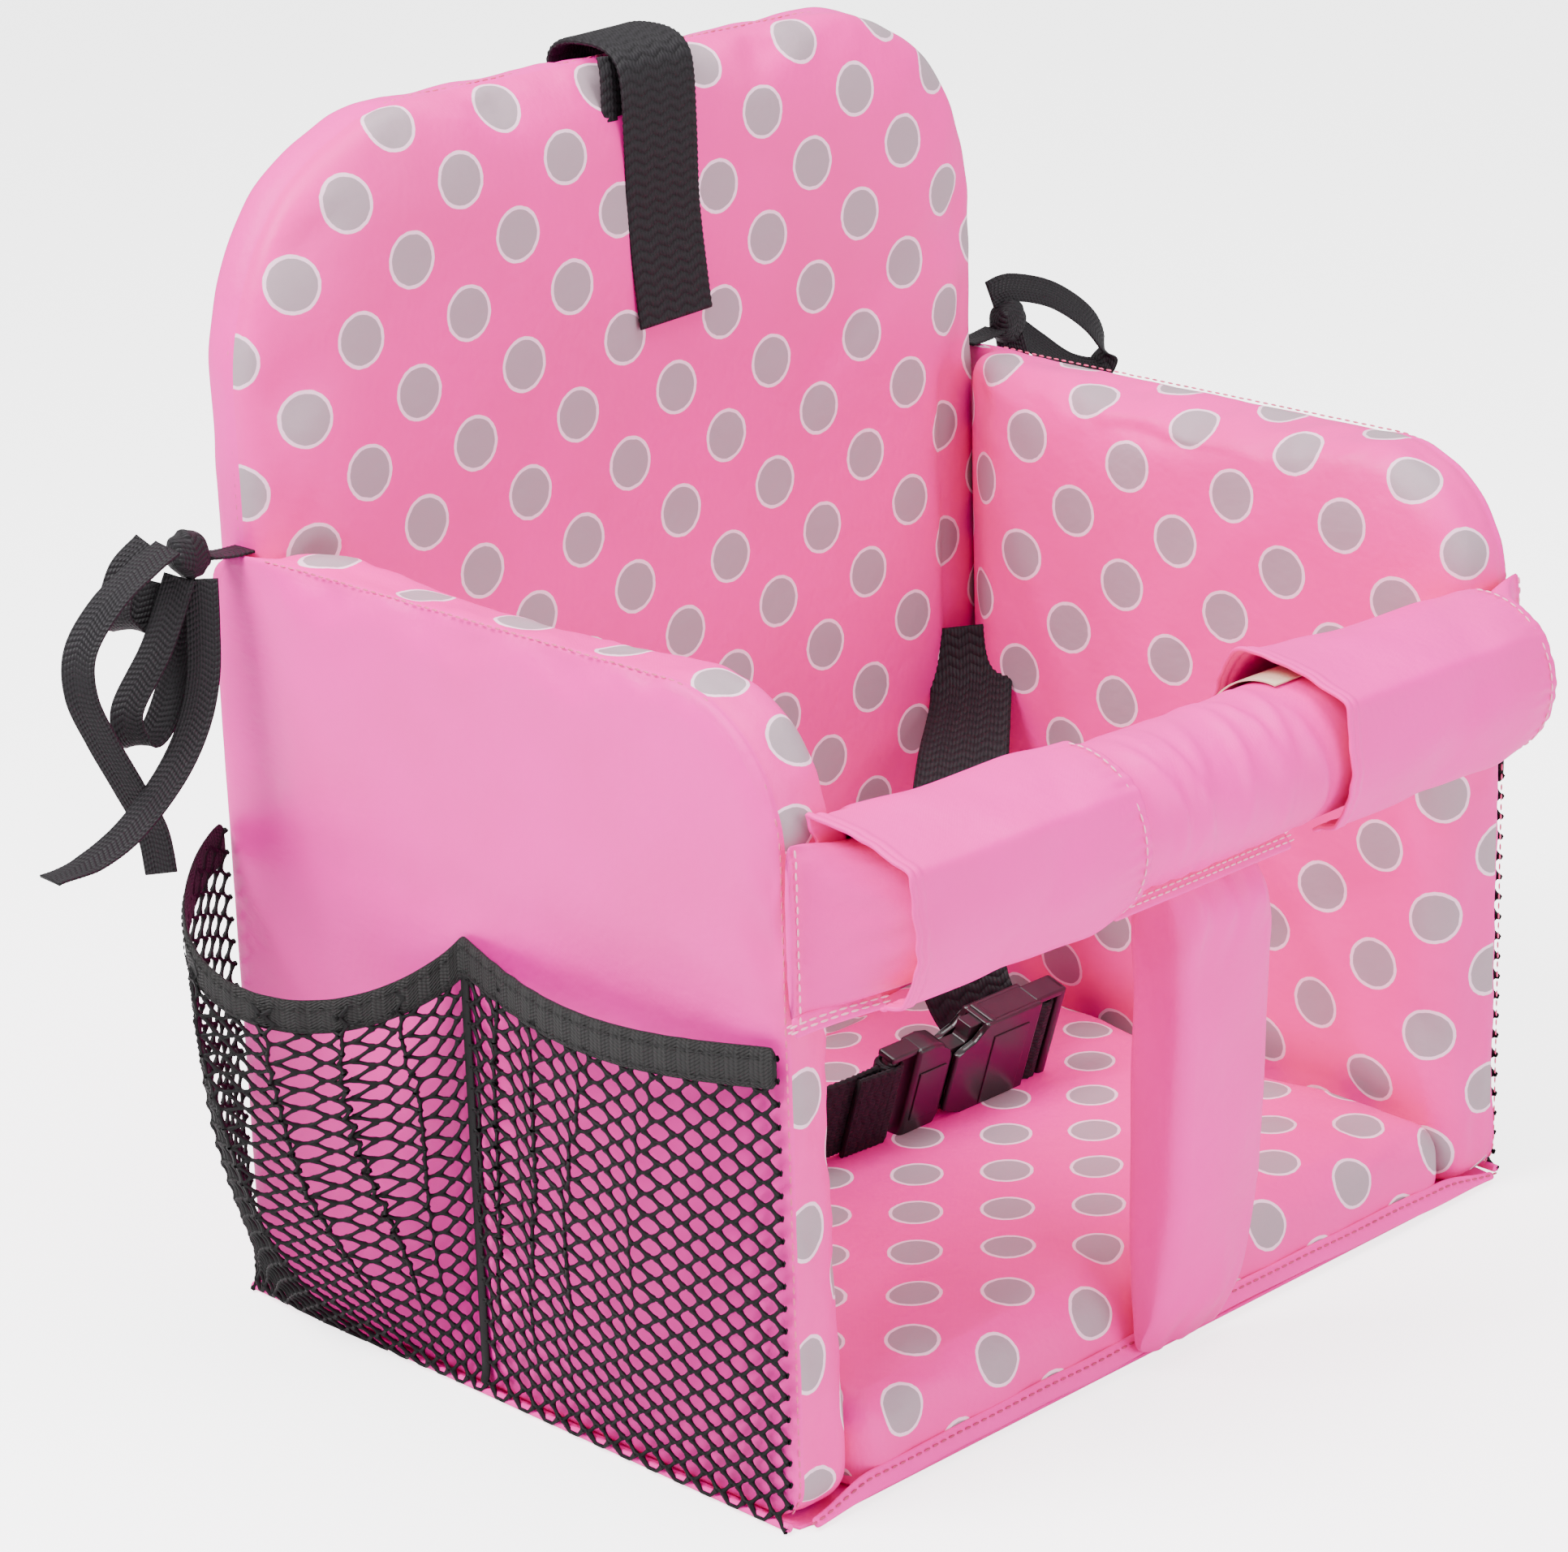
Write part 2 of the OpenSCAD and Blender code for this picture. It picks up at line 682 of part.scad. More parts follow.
belt_across = [0, -sin(buckle_tilt), cos(buckle_tilt)];
right_belt = [[75, 2, 48], [73, 11, 48], [65, 18, 54], [62, 26, 68], [68, 35, 85], [84, 48, 104], [106, 65, 122], [131, 84, 138]];
left_belt = [[-9, 2, 48], [-24, 2, 48], [-42, 6, 47], [-64, 16, 47], [-86, 32, 50], [-102, 52, 62], [-116, 69, 92], [-131, 84, 138]];

// Webbing turned back round a buckle's bar, centred on the bar at x
module bar_loop(x) {
    buckle_place() translate([x, 0, -strap_w / 2]) linear_extrude(height = strap_w) difference() {
        circle(4.5, $fn = 40);
        circle(2.9, $fn = 40);
    }
}

module belt(route, x) {
    color(webbing) {
        ribbon(route, 24, strap_w, strap_t, belt_across, [0.25, -0.35, 0.9]);
        bar_loop(x);
    }
}

module belt_left() { belt(left_belt, plug_x0 + 2); }
module belt_right() { belt(right_belt, socket_x0 + socket_l - 2); }

// ---------- nodes ----------

seat_cover_top();
seat_cover_bottom();
seat_foam();
seat_board();
seam_front();
seam_rear();
seam_left();
seam_right();
belt_left();
belt_right();
buckle_socket();
buckle_plug();
prong_upper();
prong_lower();
back_cover_front();
back_cover_rear();
back_foam();
back_board();
strap_anchor();
strap_under_leaf();
strap_loop_tape();
strap_leaf();
strap_hook_tape();
side_left_cover_inner();
side_left_cover_outer();
side_left_foam();
side_left_board();
side_right_cover_inner();
side_right_cover_outer();
side_right_foam();
side_right_board();
pocket_left_mesh();
pocket_left_binding();
pocket_right_mesh();
pocket_right_binding();
tie_left_knot();
tie_left_loops();
tie_left_tail_long();
tie_left_tail_short();
tie_right_knot();
tie_right_loops();
tie_right_tail_long();
tie_right_tail_short();
stub_left_cover();
stub_left_foam();
stub_left_loop_tape();
stub_right_cover();
stub_right_foam();
rail_cover();
rail_foam();
rail_rod();
rail_loop_tape();
crotch_cover();
crotch_foam();
wrap_left();
wrap_left_hook_tape();
wrap_right();
wrap_right_hook_tape();
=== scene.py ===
import math
import bpy
import bmesh
import numpy as np
from mathutils import Matrix, Vector


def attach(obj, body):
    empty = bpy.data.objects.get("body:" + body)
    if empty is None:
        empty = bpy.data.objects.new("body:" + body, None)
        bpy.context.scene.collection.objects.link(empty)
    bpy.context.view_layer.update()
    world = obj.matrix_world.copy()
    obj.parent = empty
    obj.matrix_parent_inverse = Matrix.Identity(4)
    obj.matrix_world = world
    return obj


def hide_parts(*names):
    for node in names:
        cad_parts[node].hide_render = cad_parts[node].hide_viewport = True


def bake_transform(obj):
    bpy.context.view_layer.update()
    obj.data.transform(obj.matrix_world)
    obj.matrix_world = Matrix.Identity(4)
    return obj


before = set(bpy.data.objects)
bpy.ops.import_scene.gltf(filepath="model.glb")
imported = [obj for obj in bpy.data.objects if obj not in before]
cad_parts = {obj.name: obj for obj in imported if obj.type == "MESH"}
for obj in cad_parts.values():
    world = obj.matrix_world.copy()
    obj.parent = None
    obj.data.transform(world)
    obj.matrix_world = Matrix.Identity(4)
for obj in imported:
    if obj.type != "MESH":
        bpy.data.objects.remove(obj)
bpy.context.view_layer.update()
# Lengths are in millimetres unless a line says otherwise; makeObject turns them into metres
mm = 0.001
print("frame loaded", len(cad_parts), "nodes")

# Camera and studio, in metres and degrees

shot = {"azimuth": -44.49, "elevation": 19.49, "roll": -1.76, "distance": 1.5163,
        "lookAt": (-0.01257, 0.032, 0.15478), "lens": 109.13, "sensor": 36, "clip": (0.05, 50)}
studio = {"floorColour": (0.93, 0.93, 0.935), "floorSize": 24.0, "floorGlow": 3.0,
          "skyColour": (1.0, 0.985, 0.99), "skyStrength": 0.75,
          "skySeen": 7.0, "keyPower": 44.0, "keySize": 0.8, "keyAt": (-0.95, 0.25, 1.35),
          "topPower": 22.0, "topSize": 1.0, "topAt": (0.2, -0.25, 1.6),
          "frontPower": 24.0, "frontSize": 1.2, "frontAt": (0.15, -1.9, 0.75),
          "aim": (0, 0, 0.15), "floorRoughness": 0.85}


def addCamera():
    a, e, roll = (math.radians(shot[k]) for k in ("azimuth", "elevation", "roll"))
    back = Vector((math.sin(a) * math.cos(e), -math.cos(a) * math.cos(e), math.sin(e)))
    right = Vector((0, 0, 1)).cross(back).normalized()
    up = back.cross(right)
    rolledRight = math.cos(roll) * right + math.sin(roll) * up
    rolledUp = math.cos(roll) * up - math.sin(roll) * right
    turn = Matrix((rolledRight, rolledUp, back)).transposed().to_4x4()
    data = bpy.data.cameras.new("camera")
    data.sensor_width, data.lens = shot["sensor"], shot["lens"]
    data.clip_start, data.clip_end = shot["clip"]
    camera = bpy.data.objects.new("camera", data)
    camera.matrix_world = Matrix.Translation(Vector(shot["lookAt"]) + back * shot["distance"]) @ turn
    bpy.context.scene.collection.objects.link(camera)
    bpy.context.scene.camera = camera


def addLamp(name, at, size, power):
    data = bpy.data.lights.new(name, "AREA")
    data.shape, data.size, data.energy = "DISK", size, power
    lamp = bpy.data.objects.new(name, data)
    aim = Vector(studio["aim"]) - Vector(at)
    lamp.matrix_world = Matrix.Translation(at) @ aim.to_track_quat("-Z", "Y").to_matrix().to_4x4()
    bpy.context.scene.collection.objects.link(lamp)


def addStudio():
    half = studio["floorSize"] / 2
    mesh = bpy.data.meshes.new("floor")
    mesh.from_pydata([(-half, -half, 0), (half, -half, 0), (half, half, 0), (-half, half, 0)], [],
                     [(0, 1, 2, 3)])
    floor = bpy.data.objects.new("floor", mesh)
    material = bpy.data.materials.new("floorPaper")
    material.use_nodes = True
    shader = material.node_tree.nodes["Principled BSDF"]
    shader.inputs["Base Color"].default_value = (*studio["floorColour"], 1)
    shader.inputs["Roughness"].default_value = studio["floorRoughness"]
    shader.inputs["Emission Color"].default_value = (1, 1, 1, 1)
    paths = material.node_tree.nodes.new("ShaderNodeLightPath")
    glow = material.node_tree.nodes.new("ShaderNodeMath")
    glow.operation = "MULTIPLY"
    glow.inputs[1].default_value = studio["floorGlow"]
    material.node_tree.links.new(paths.outputs["Is Camera Ray"], glow.inputs[0])
    material.node_tree.links.new(glow.outputs[0], shader.inputs["Emission Strength"])
    mesh.materials.append(material)
    bpy.context.scene.collection.objects.link(floor)
    world = bpy.data.worlds.new("studio")
    world.use_nodes = True
    sky = world.node_tree.nodes["Background"]
    sky.inputs["Color"].default_value = (*studio["skyColour"], 1)
    seen = world.node_tree.nodes.new("ShaderNodeLightPath").outputs["Is Camera Ray"]
    brightness = world.node_tree.nodes.new("ShaderNodeMapRange")
    brightness.inputs["To Min"].default_value = studio["skyStrength"]
    brightness.inputs["To Max"].default_value = studio["skySeen"]
    world.node_tree.links.new(seen, brightness.inputs["Value"])
    world.node_tree.links.new(brightness.outputs["Result"], sky.inputs["Strength"])
    bpy.context.scene.world = world
    for side in ("key", "top", "front"):
        addLamp(side + "Light", studio[side + "At"], studio[side + "Size"], studio[side + "Power"])


addCamera()
addStudio()
print("camera and lights set")

# Shader node groups


class NodeKit:
    def __init__(self, tree):
        self.tree = tree

    def add(self, kind, settings=None, **links):
        node = self.tree.nodes.new(kind)
        for key, value in (settings or {}).items():
            setattr(node, key, value)
        for key, value in links.items():
            self.feed(node, key, value)
        return node

    def feed(self, node, key, value):
        numbered = key[0] == "i" and key[1:].isdigit()
        socket = node.inputs[int(key[1:]) if numbered else key.replace("_", " ")]
        if isinstance(value, bpy.types.NodeSocket):
            self.tree.links.new(value, socket)
        else:
            socket.default_value = value

    def math(self, operation, *values):
        node = self.add("ShaderNodeMath", {"operation": operation})
        for k, value in enumerate(values):
            self.feed(node, f"i{k}", value)
        return node.outputs[0]

    def vector(self, operation, *values, out=0):
        node = self.add("ShaderNodeVectorMath", {"operation": operation})
        for k, value in enumerate(values):
            self.feed(node, "Scale" if operation == "SCALE" and k == 1 else f"i{k}", value)
        return node.outputs[out]

    def band(self, value, low, high, first=0.0, last=1.0):
        node = self.add("ShaderNodeMapRange", {"interpolation_type": "SMOOTHSTEP"}, Value=value)
        node.inputs["From Min"].default_value, node.inputs["From Max"].default_value = low, high
        node.inputs["To Min"].default_value, node.inputs["To Max"].default_value = first, last
        return node.outputs["Result"]

    def mix(self, share, a, b):
        node = self.add("ShaderNodeMix", {"data_type": "RGBA"})
        self.feed(node, "i0", share)
        self.feed(node, "i6", a)
        self.feed(node, "i7", b)
        return node.outputs[2]

    def noise(self, where, scale, detail=2.0, rough=0.5):
        node = self.add("ShaderNodeTexNoise", Vector=where, Scale=scale, Detail=detail, Roughness=rough)
        return node.outputs["Fac"]


def newGroup(name, inputs, outputs):
    group = bpy.data.node_groups.new(name, "ShaderNodeTree")
    for socket, kind, value in inputs:
        made = group.interface.new_socket(socket, in_out="INPUT", socket_type=kind)
        if value is not None:
            made.default_value = value
    for socket, kind in outputs:
        group.interface.new_socket(socket, in_out="OUTPUT", socket_type=kind)
    kit = NodeKit(group)
    return group, kit, kit.add("NodeGroupInput").outputs, kit.add("NodeGroupOutput")


number, colour, direction = "NodeSocketFloat", "NodeSocketColor", "NodeSocketVector"


def makeDotPrint():
    group, kit, given, result = newGroup("dotPrint", [
        ("Flat", direction, None), ("Step U", number, 0.0214), ("Step V", number, 0.0207),
        ("Radius", number, 0.0078),
        ("Ring", number, 0.0011), ("Ground", colour, None), ("Dot", colour, None),
        ("Outline", colour, None)],
        [("Color", colour), ("Dot", number)])
    cell = kit.add("ShaderNodeCombineXYZ", X=kit.math("MULTIPLY", given["Step U"], 2.0),
                   Y=kit.math("MULTIPLY", given["Step V"], 2.0), Z=1.0).outputs[0]
    wobble = kit.add("ShaderNodeTexNoise", Vector=given["Flat"], Scale=420.0, Detail=1.0).outputs["Color"]
    moved = kit.vector("ADD", given["Flat"],
                       kit.vector("SCALE", kit.vector("SUBTRACT", wobble, (0.5, 0.5, 0.5)), 0.0005))
    share = kit.vector("DIVIDE", moved, cell)
    far = []
    for shift in ((0.5, 0.5, 0.0), (1.0, 1.0, 0.0)):
        part = kit.vector("FRACTION", kit.vector("ADD", share, shift))
        gap = kit.vector("MULTIPLY", kit.vector("SUBTRACT", part, (0.5, 0.5, 0.0)), cell)
        flat = kit.vector("MULTIPLY", gap, (1.0, 1.0, 0.0))
        far.append(kit.vector("LENGTH", flat, out=1))
    near = kit.math("MINIMUM", *far)
    inside = kit.math("SUBTRACT", near, given["Radius"])
    dot = kit.band(inside, -0.00012, 0.00012, 1.0, 0.0)
    ring = kit.band(kit.math("SUBTRACT", inside, given["Ring"]), -0.00015, 0.00015, 1.0, 0.0)
    tinted = kit.mix(dot, kit.mix(ring, given["Ground"], given["Outline"]), given["Dot"])
    kit.tree.links.new(tinted, result.inputs["Color"])
    kit.tree.links.new(dot, result.inputs["Dot"])
    return group


def makeSatinWeave():
    group, kit, given, result = newGroup("satinWeave", [
        ("Flat", direction, None), ("Thread", number, 0.00045), ("Crumple", number, 1.0)],
        [("Height", number), ("Shade", number), ("Gloss", number)])
    steps = kit.vector("SCALE", given["Flat"], kit.math("DIVIDE", math.tau, given["Thread"]))
    parts = kit.add("ShaderNodeSeparateXYZ", Vector=steps).outputs
    weave = kit.math("MULTIPLY", kit.math("SINE", parts[0]), kit.math("SINE", parts[1]))
    soft = kit.noise(given["Flat"], 55.0, 3.0, 0.55)
    fine = kit.noise(given["Flat"], 420.0, 2.0, 0.5)
    height = kit.math("ADD", kit.math("MULTIPLY", weave, 0.00002),
                      kit.math("MULTIPLY", kit.math("ADD", kit.math("MULTIPLY", soft, 0.0009),
                                                    kit.math("MULTIPLY", fine, 0.00012)),
                               given["Crumple"]))
    kit.tree.links.new(height, result.inputs["Height"])
    kit.tree.links.new(kit.noise(given["Flat"], 14.0, 2.0, 0.6), result.inputs["Shade"])
    kit.tree.links.new(kit.noise(given["Flat"], 30.0, 3.0, 0.6), result.inputs["Gloss"])
    return group


def makeRibWeave():
    group, kit, given, result = newGroup("ribWeave", [
        ("Flat", direction, None), ("Rib", number, 0.0019), ("Yarn", number, 0.0011)],
        [("Height", number), ("Shade", number)])
    parts = kit.add("ShaderNodeSeparateXYZ", Vector=given["Flat"]).outputs
    slant = kit.math("MULTIPLY", kit.math("PINGPONG", parts[0], 0.004), 0.55)
    along = kit.math("MULTIPLY", kit.math("DIVIDE", kit.math("ADD", parts[1], slant), given["Rib"]),
                     math.tau)
    across = kit.math("MULTIPLY", kit.math("DIVIDE", parts[0], given["Yarn"]), math.tau)
    rib = kit.math("ABSOLUTE", kit.math("SINE", kit.math("MULTIPLY", along, 0.5)))
    yarn = kit.math("ABSOLUTE", kit.math("SINE", kit.math("MULTIPLY", across, 0.5)))
    height = kit.math("MULTIPLY", kit.math("ADD", rib, kit.math("MULTIPLY", yarn, 0.5)), 0.0004)
    kit.tree.links.new(height, result.inputs["Height"])
    # Shade follows the rib and yarn height; the rib materials use it to paint a highlight on the crests
    kit.tree.links.new(kit.math("MULTIPLY", kit.math("ADD", rib, yarn), 0.5), result.inputs["Shade"])
    return group


def makeGrain():
    group, kit, given, result = newGroup("mouldGrain",
                                         [("Place", direction, None), ("Size", number, 900.0)],
                                         [("Height", number), ("Wear", number)])
    fine = kit.add("ShaderNodeTexNoise", Vector=given["Place"], Scale=given["Size"],
                   Detail=2.0).outputs["Fac"]
    kit.tree.links.new(kit.math("MULTIPLY", fine, 0.00006), result.inputs["Height"])
    kit.tree.links.new(kit.noise(given["Place"], 120.0, 4.0, 0.65), result.inputs["Wear"])
    return group


groups = {"dots": makeDotPrint(), "satin": makeSatinWeave(), "ribs": makeRibWeave(), "grain": makeGrain()}

# Materials

pinks = {"ground": (1.0, 0.0, 0.37), "plain": (1.0, 0.0, 0.41), "dot": (0.37, 0.27, 0.315),
         "outline": (0.97, 0.62, 0.80),
         "deep": (0.62, 0.05, 0.17), "thread": (0.80, 0.10, 0.27), "darkThread": (0.50, 0.02, 0.13),
         "paleThread": (0.93, 0.36, 0.56),
         "roughness": 0.42, "uneven": 0.07, "specular": 0.28, "sheen": 0.01, "sheenRoughness": 0.35,
         "coat": 0.02, "coatRoughness": 0.32, "bump": 0.9, "deepShare": 0.22}
blacks = {"webbing": (0.0035, 0.003, 0.0038), "elastic": (0.006, 0.0055, 0.0055),
          "net": (0.003, 0.0026, 0.003),
          "plastic": (0.010, 0.0045, 0.0065), "hooks": (0.006, 0.006, 0.006)}


def startMaterial(name, roughness=0.5, specular=0.5):
    material = bpy.data.materials.new(name)
    material.use_nodes = True
    kit = NodeKit(material.node_tree)
    shader = material.node_tree.nodes["Principled BSDF"]
    shader.inputs["Roughness"].default_value = roughness
    shader.inputs["Specular IOR Level"].default_value = specular
    return material, kit, shader


def useGroup(kit, name, **links):
    node = kit.add("ShaderNodeGroup", {"node_tree": groups[name]})
    for key, value in links.items():
        kit.feed(node, key, value)
    return node.outputs


def satinMaterial(name, dotted):
    material, kit, shader = startMaterial(name, pinks["roughness"], pinks["specular"])
    flat = kit.add("ShaderNodeTexCoord").outputs["UV"]
    satin = useGroup(kit, "satin", Flat=flat)
    ground = (*(pinks["ground"] if dotted else pinks["plain"]), 1)
    tint = kit.mix(kit.band(satin["Shade"], 0.3, 0.75, 0.0, pinks["deepShare"]), ground,
                   (*pinks["deep"], 1))
    if dotted:
        tint = useGroup(kit, "dots", Flat=flat, Ground=tint, Dot=(*pinks["dot"], 1),
                        Outline=(*pinks["outline"], 1))["Color"]
    kit.feed(shader, "Base Color", tint)
    low, high = pinks["roughness"] - pinks["uneven"], pinks["roughness"] + pinks["uneven"]
    kit.feed(shader, "Roughness", kit.band(satin["Gloss"], 0.2, 0.8, low, high))
    shader.inputs["Sheen Weight"].default_value = pinks["sheen"]
    shader.inputs["Sheen Roughness"].default_value = pinks["sheenRoughness"]
    shader.inputs["Coat Weight"].default_value = pinks["coat"]
    shader.inputs["Coat Roughness"].default_value = pinks["coatRoughness"]
    bump = kit.add("ShaderNodeBump", Height=satin["Height"], Strength=pinks["bump"], Distance=1.0)
    kit.feed(shader, "Normal", bump.outputs[0])
    return material


def ribMaterial(name, base, rib, yarn, roughness=0.62):
    material, kit, shader = startMaterial(name, roughness, 0.22)
    flat = kit.add("ShaderNodeTexCoord").outputs["UV"]
    ribs = useGroup(kit, "ribs", Flat=flat, Rib=rib, Yarn=yarn)
    # Painted highlight: the base colour turns paler on the rib crests, standing in for light catching the
    # weave
    paintedCrestHighlight = tuple(min(1.0, c * 4.0 + 0.003) for c in base)
    kit.feed(shader, "Base Color", kit.mix(kit.band(ribs["Shade"], 0.1, 1.0, 0.0, 0.6), (*base, 1),
                                           (*paintedCrestHighlight, 1)))
    shader.inputs["Sheen Weight"].default_value = 0.015
    shader.inputs["Sheen Roughness"].default_value = 0.5
    bump = kit.add("ShaderNodeBump", Height=ribs["Height"], Strength=0.8, Distance=1.0)
    kit.feed(shader, "Normal", bump.outputs[0])
    return material


def grainMaterial(name, base, worn, roughness, size=900.0, strength=0.7, coat=0.0, uneven=0.08,
                  specular=0.5):
    material, kit, shader = startMaterial(name, roughness, specular)
    place = kit.add("ShaderNodeTexCoord").outputs["Object"]
    grain = useGroup(kit, "grain", Place=place, Size=size)
    kit.feed(shader, "Base Color", kit.mix(kit.band(grain["Wear"], 0.35, 0.75), (*base, 1), (*worn, 1)))
    kit.feed(shader, "Roughness", kit.band(grain["Wear"], 0.3, 0.8, roughness - uneven, roughness + uneven))
    shader.inputs["Coat Weight"].default_value = coat
    shader.inputs["Coat Roughness"].default_value = 0.25
    bump = kit.add("ShaderNodeBump", Height=grain["Height"], Strength=strength, Distance=1.0)
    kit.feed(shader, "Normal", bump.outputs[0])
    return material


materials = {
    "dotted": satinMaterial("dottedSatin", True), "plain": satinMaterial("plainSatin", False),
    "webbing": ribMaterial("blackWebbing", blacks["webbing"], 0.0036, 0.0013),
    "ribbon": ribMaterial("blackRibbon", blacks["webbing"], 0.0018, 0.0009, 0.55),
    "elastic": ribMaterial("blackElastic", blacks["elastic"], 0.0011, 0.0016, 0.6),
    "net": grainMaterial("blackNet", blacks["net"], (0.006, 0.0055, 0.006), 0.6, 2500.0, specular=0.2),
    "plastic": grainMaterial("blackPlastic", blacks["plastic"], (0.013, 0.007, 0.009), 0.33, 1800.0, 0.12,
                             0.1, 0.02),
    "thread": grainMaterial("pinkThread", pinks["thread"], (0.55, 0.05, 0.15), 0.5, 3000.0),
    "darkThread": grainMaterial("darkPinkThread", pinks["darkThread"], (0.4, 0.02, 0.1), 0.5, 3000.0),
    "paleThread": grainMaterial("paleThread", pinks["paleThread"], (0.86, 0.27, 0.46), 0.5, 3000.0),
    "hooks": grainMaterial("blackHooks", blacks["hooks"], (0.016, 0.016, 0.016), 0.6, 1500.0, 1.0,
                           specular=0.25),
    "loops": grainMaterial("beigeLoops", (0.60, 0.47, 0.30), (0.72, 0.60, 0.42), 0.85, 1800.0, 1.0),
}
print("materials made")

# Mesh helpers


def smooth(x, low=0.0, high=1.0):
    t = np.clip((np.asarray(x, float) - low) / (high - low), 0, 1)
    return t * t * (3 - 2 * t)


def makeObject(name, points, faces, materialNames, faceMaterial=None, uv=None):
    mesh = bpy.data.meshes.new(name)
    mesh.from_pydata((np.asarray(points, float) * mm).tolist(), [], faces)
    for key in materialNames:
        mesh.materials.append(materials[key])
    if faceMaterial is not None:
        mesh.polygons.foreach_set("material_index", faceMaterial)
    if uv is not None:
        layer = mesh.uv_layers.new(name="flat")
        layer.data.foreach_set("uv", (np.asarray(uv, float) * mm).ravel())
    mesh.polygons.foreach_set("use_smooth", [True] * len(mesh.polygons))
    mesh.update()
    made = bpy.data.objects.new(name, mesh)
    bpy.context.scene.collection.objects.link(made)
    return made


def pointsOf(made):
    flat = np.zeros(len(made.data.vertices) * 3)
    made.data.vertices.foreach_get("co", flat)
    return flat.reshape(-1, 3) / mm


def setPoints(made, points):
    made.data.vertices.foreach_set("co", (points * mm).ravel())
    made.data.update()


def normalsOf(made):
    flat = np.zeros(len(made.data.vertices) * 3)
    made.data.vertices.foreach_get("normal", flat)
    return flat.reshape(-1, 3)


def turnOutward(made):
    work = bmesh.new()
    work.from_mesh(made.data)
    bmesh.ops.recalc_face_normals(work, faces=work.faces)
    work.to_mesh(made.data)
    work.free()
    made.data.update()


def addModifier(made, kind, **settings):
    modifier = made.modifiers.new(kind.lower(), kind)
    for key, value in settings.items():
        setattr(modifier, key, value)
    return modifier


def subdivide(made, levels=1):
    addModifier(made, "SUBSURF", levels=levels, render_levels=levels)
    return made


def bake(made):
    graph = bpy.context.evaluated_depsgraph_get()
    mesh = bpy.data.meshes.new_from_object(made.evaluated_get(graph), preserve_all_data_layers=True,
                                           depsgraph=graph)
    made.modifiers.clear()
    old = made.data
    made.data = mesh
    bpy.data.meshes.remove(old)
    return made


# Faces of a grid of points, and the grid place of every face corner for its flat drawing
def sheetGrid(rows, columns, closedColumns=False):
    faces, corners = [], []
    for i in range(rows - 1):
        for j in range(columns if closedColumns else columns - 1):
            below, j1 = (i + 1) * columns, (j + 1) % columns
            faces.append((i * columns + j, i * columns + j1, below + j1, below + j))
            corners += [(i, j), (i, j + 1), (i + 1, j + 1), (i + 1, j)]
    return faces, np.array(corners)


def cap(faces, loop, flip=False):
    faces.append(tuple(loop[::-1] if flip else loop))


def finish(made, body, replaces=()):
    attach(made, body)
    if replaces:
        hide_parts(*replaces)
    return made


# Smooth curve through the points of a route
def curvePoints(route, steps):
    p = np.asarray(route, float)
    last = len(p) - 1
    found = []
    for t in np.linspace(0, last, steps + 1):
        i = min(int(t), last - 1)
        u = t - i
        a, b, c, d = p[max(i - 1, 0)], p[i], p[i + 1], p[min(i + 2, last)]
        found.append(0.5 * (2 * b + (c - a) * u + (2 * a - 5 * b + 4 * c - d) * u ** 2
                            + (3 * b - a - 3 * c + d) * u ** 3))
    return np.array(found)


# The same curve in even steps, with its length
def evenCurve(route, step):
    dense = curvePoints(route, 40 * (len(route) - 1))
    run = np.concatenate([[0], np.cumsum(np.linalg.norm(np.diff(dense, axis=0), axis=1))])
    count = max(4, int(round(run[-1] / step)))
    at = np.linspace(0, run[-1], count + 1)
    return np.stack([np.interp(at, run, dense[:, k]) for k in range(3)], 1), run[-1]


# A sum of random sine waves along a line, for wrinkles and gathers
def waves(seed, size, low, high, count=9):
    rng = np.random.default_rng(seed)
    turns = rng.uniform(low, high, count)
    phases = rng.uniform(0, math.tau, count)
    heights = rng.uniform(0.5, 1.0, count)

    def field(s):
        s = np.asarray(s, float)
        parts = [h * np.sin(math.tau * f * s / size + p) for h, f, p in zip(heights, turns, phases)]
        return sum(parts) / math.sqrt(count)

    return field


# Geometry nodes: stitches, netting


def geometryTree(name, inputs):
    tree = bpy.data.node_groups.new(name, "GeometryNodeTree")
    tree.interface.new_socket("Geometry", in_out="INPUT", socket_type="NodeSocketGeometry")
    for label, kind, value in inputs:
        made = tree.interface.new_socket(label, in_out="INPUT", socket_type=kind)
        if value is not None:
            made.default_value = value
    tree.interface.new_socket("Geometry", in_out="OUTPUT", socket_type="NodeSocketGeometry")
    kit = NodeKit(tree)
    return tree, kit, kit.add("NodeGroupInput").outputs, kit.add("NodeGroupOutput")


def makeStitchTree():
    tree, kit, given, result = geometryTree("stitchRun", [
        ("Pitch", number, 0.0034), ("Length", number, 0.0025), ("Thickness", number, 0.0006),
        ("Material", "NodeSocketMaterial", None)])
    curve = kit.add("GeometryNodeMeshToCurve", Mesh=given["Geometry"]).outputs[0]
    places = kit.add("GeometryNodeCurveToPoints", {"mode": "LENGTH"}, Curve=curve, Length=given["Pitch"])
    ball = kit.add("GeometryNodeMeshUVSphere", Segments=6, Rings=5, Radius=0.5).outputs[0]
    size = kit.add("ShaderNodeCombineXYZ", X=given["Thickness"], Y=given["Thickness"],
                   Z=given["Length"]).outputs[0]
    turn = kit.add("FunctionNodeAlignRotationToVector", {"axis": "Z"},
                   Vector=places.outputs["Tangent"]).outputs[0]
    copies = kit.add("GeometryNodeInstanceOnPoints", Points=places.outputs["Points"], Instance=ball,
                     Rotation=turn, Scale=size)
    real = kit.add("GeometryNodeRealizeInstances", Geometry=copies.outputs[0]).outputs[0]
    rounded = kit.add("GeometryNodeSetShadeSmooth", Geometry=real).outputs[0]
    final = kit.add("GeometryNodeSetMaterial", Geometry=rounded, Material=given["Material"]).outputs[0]
    tree.links.new(final, result.inputs[0])
    return tree


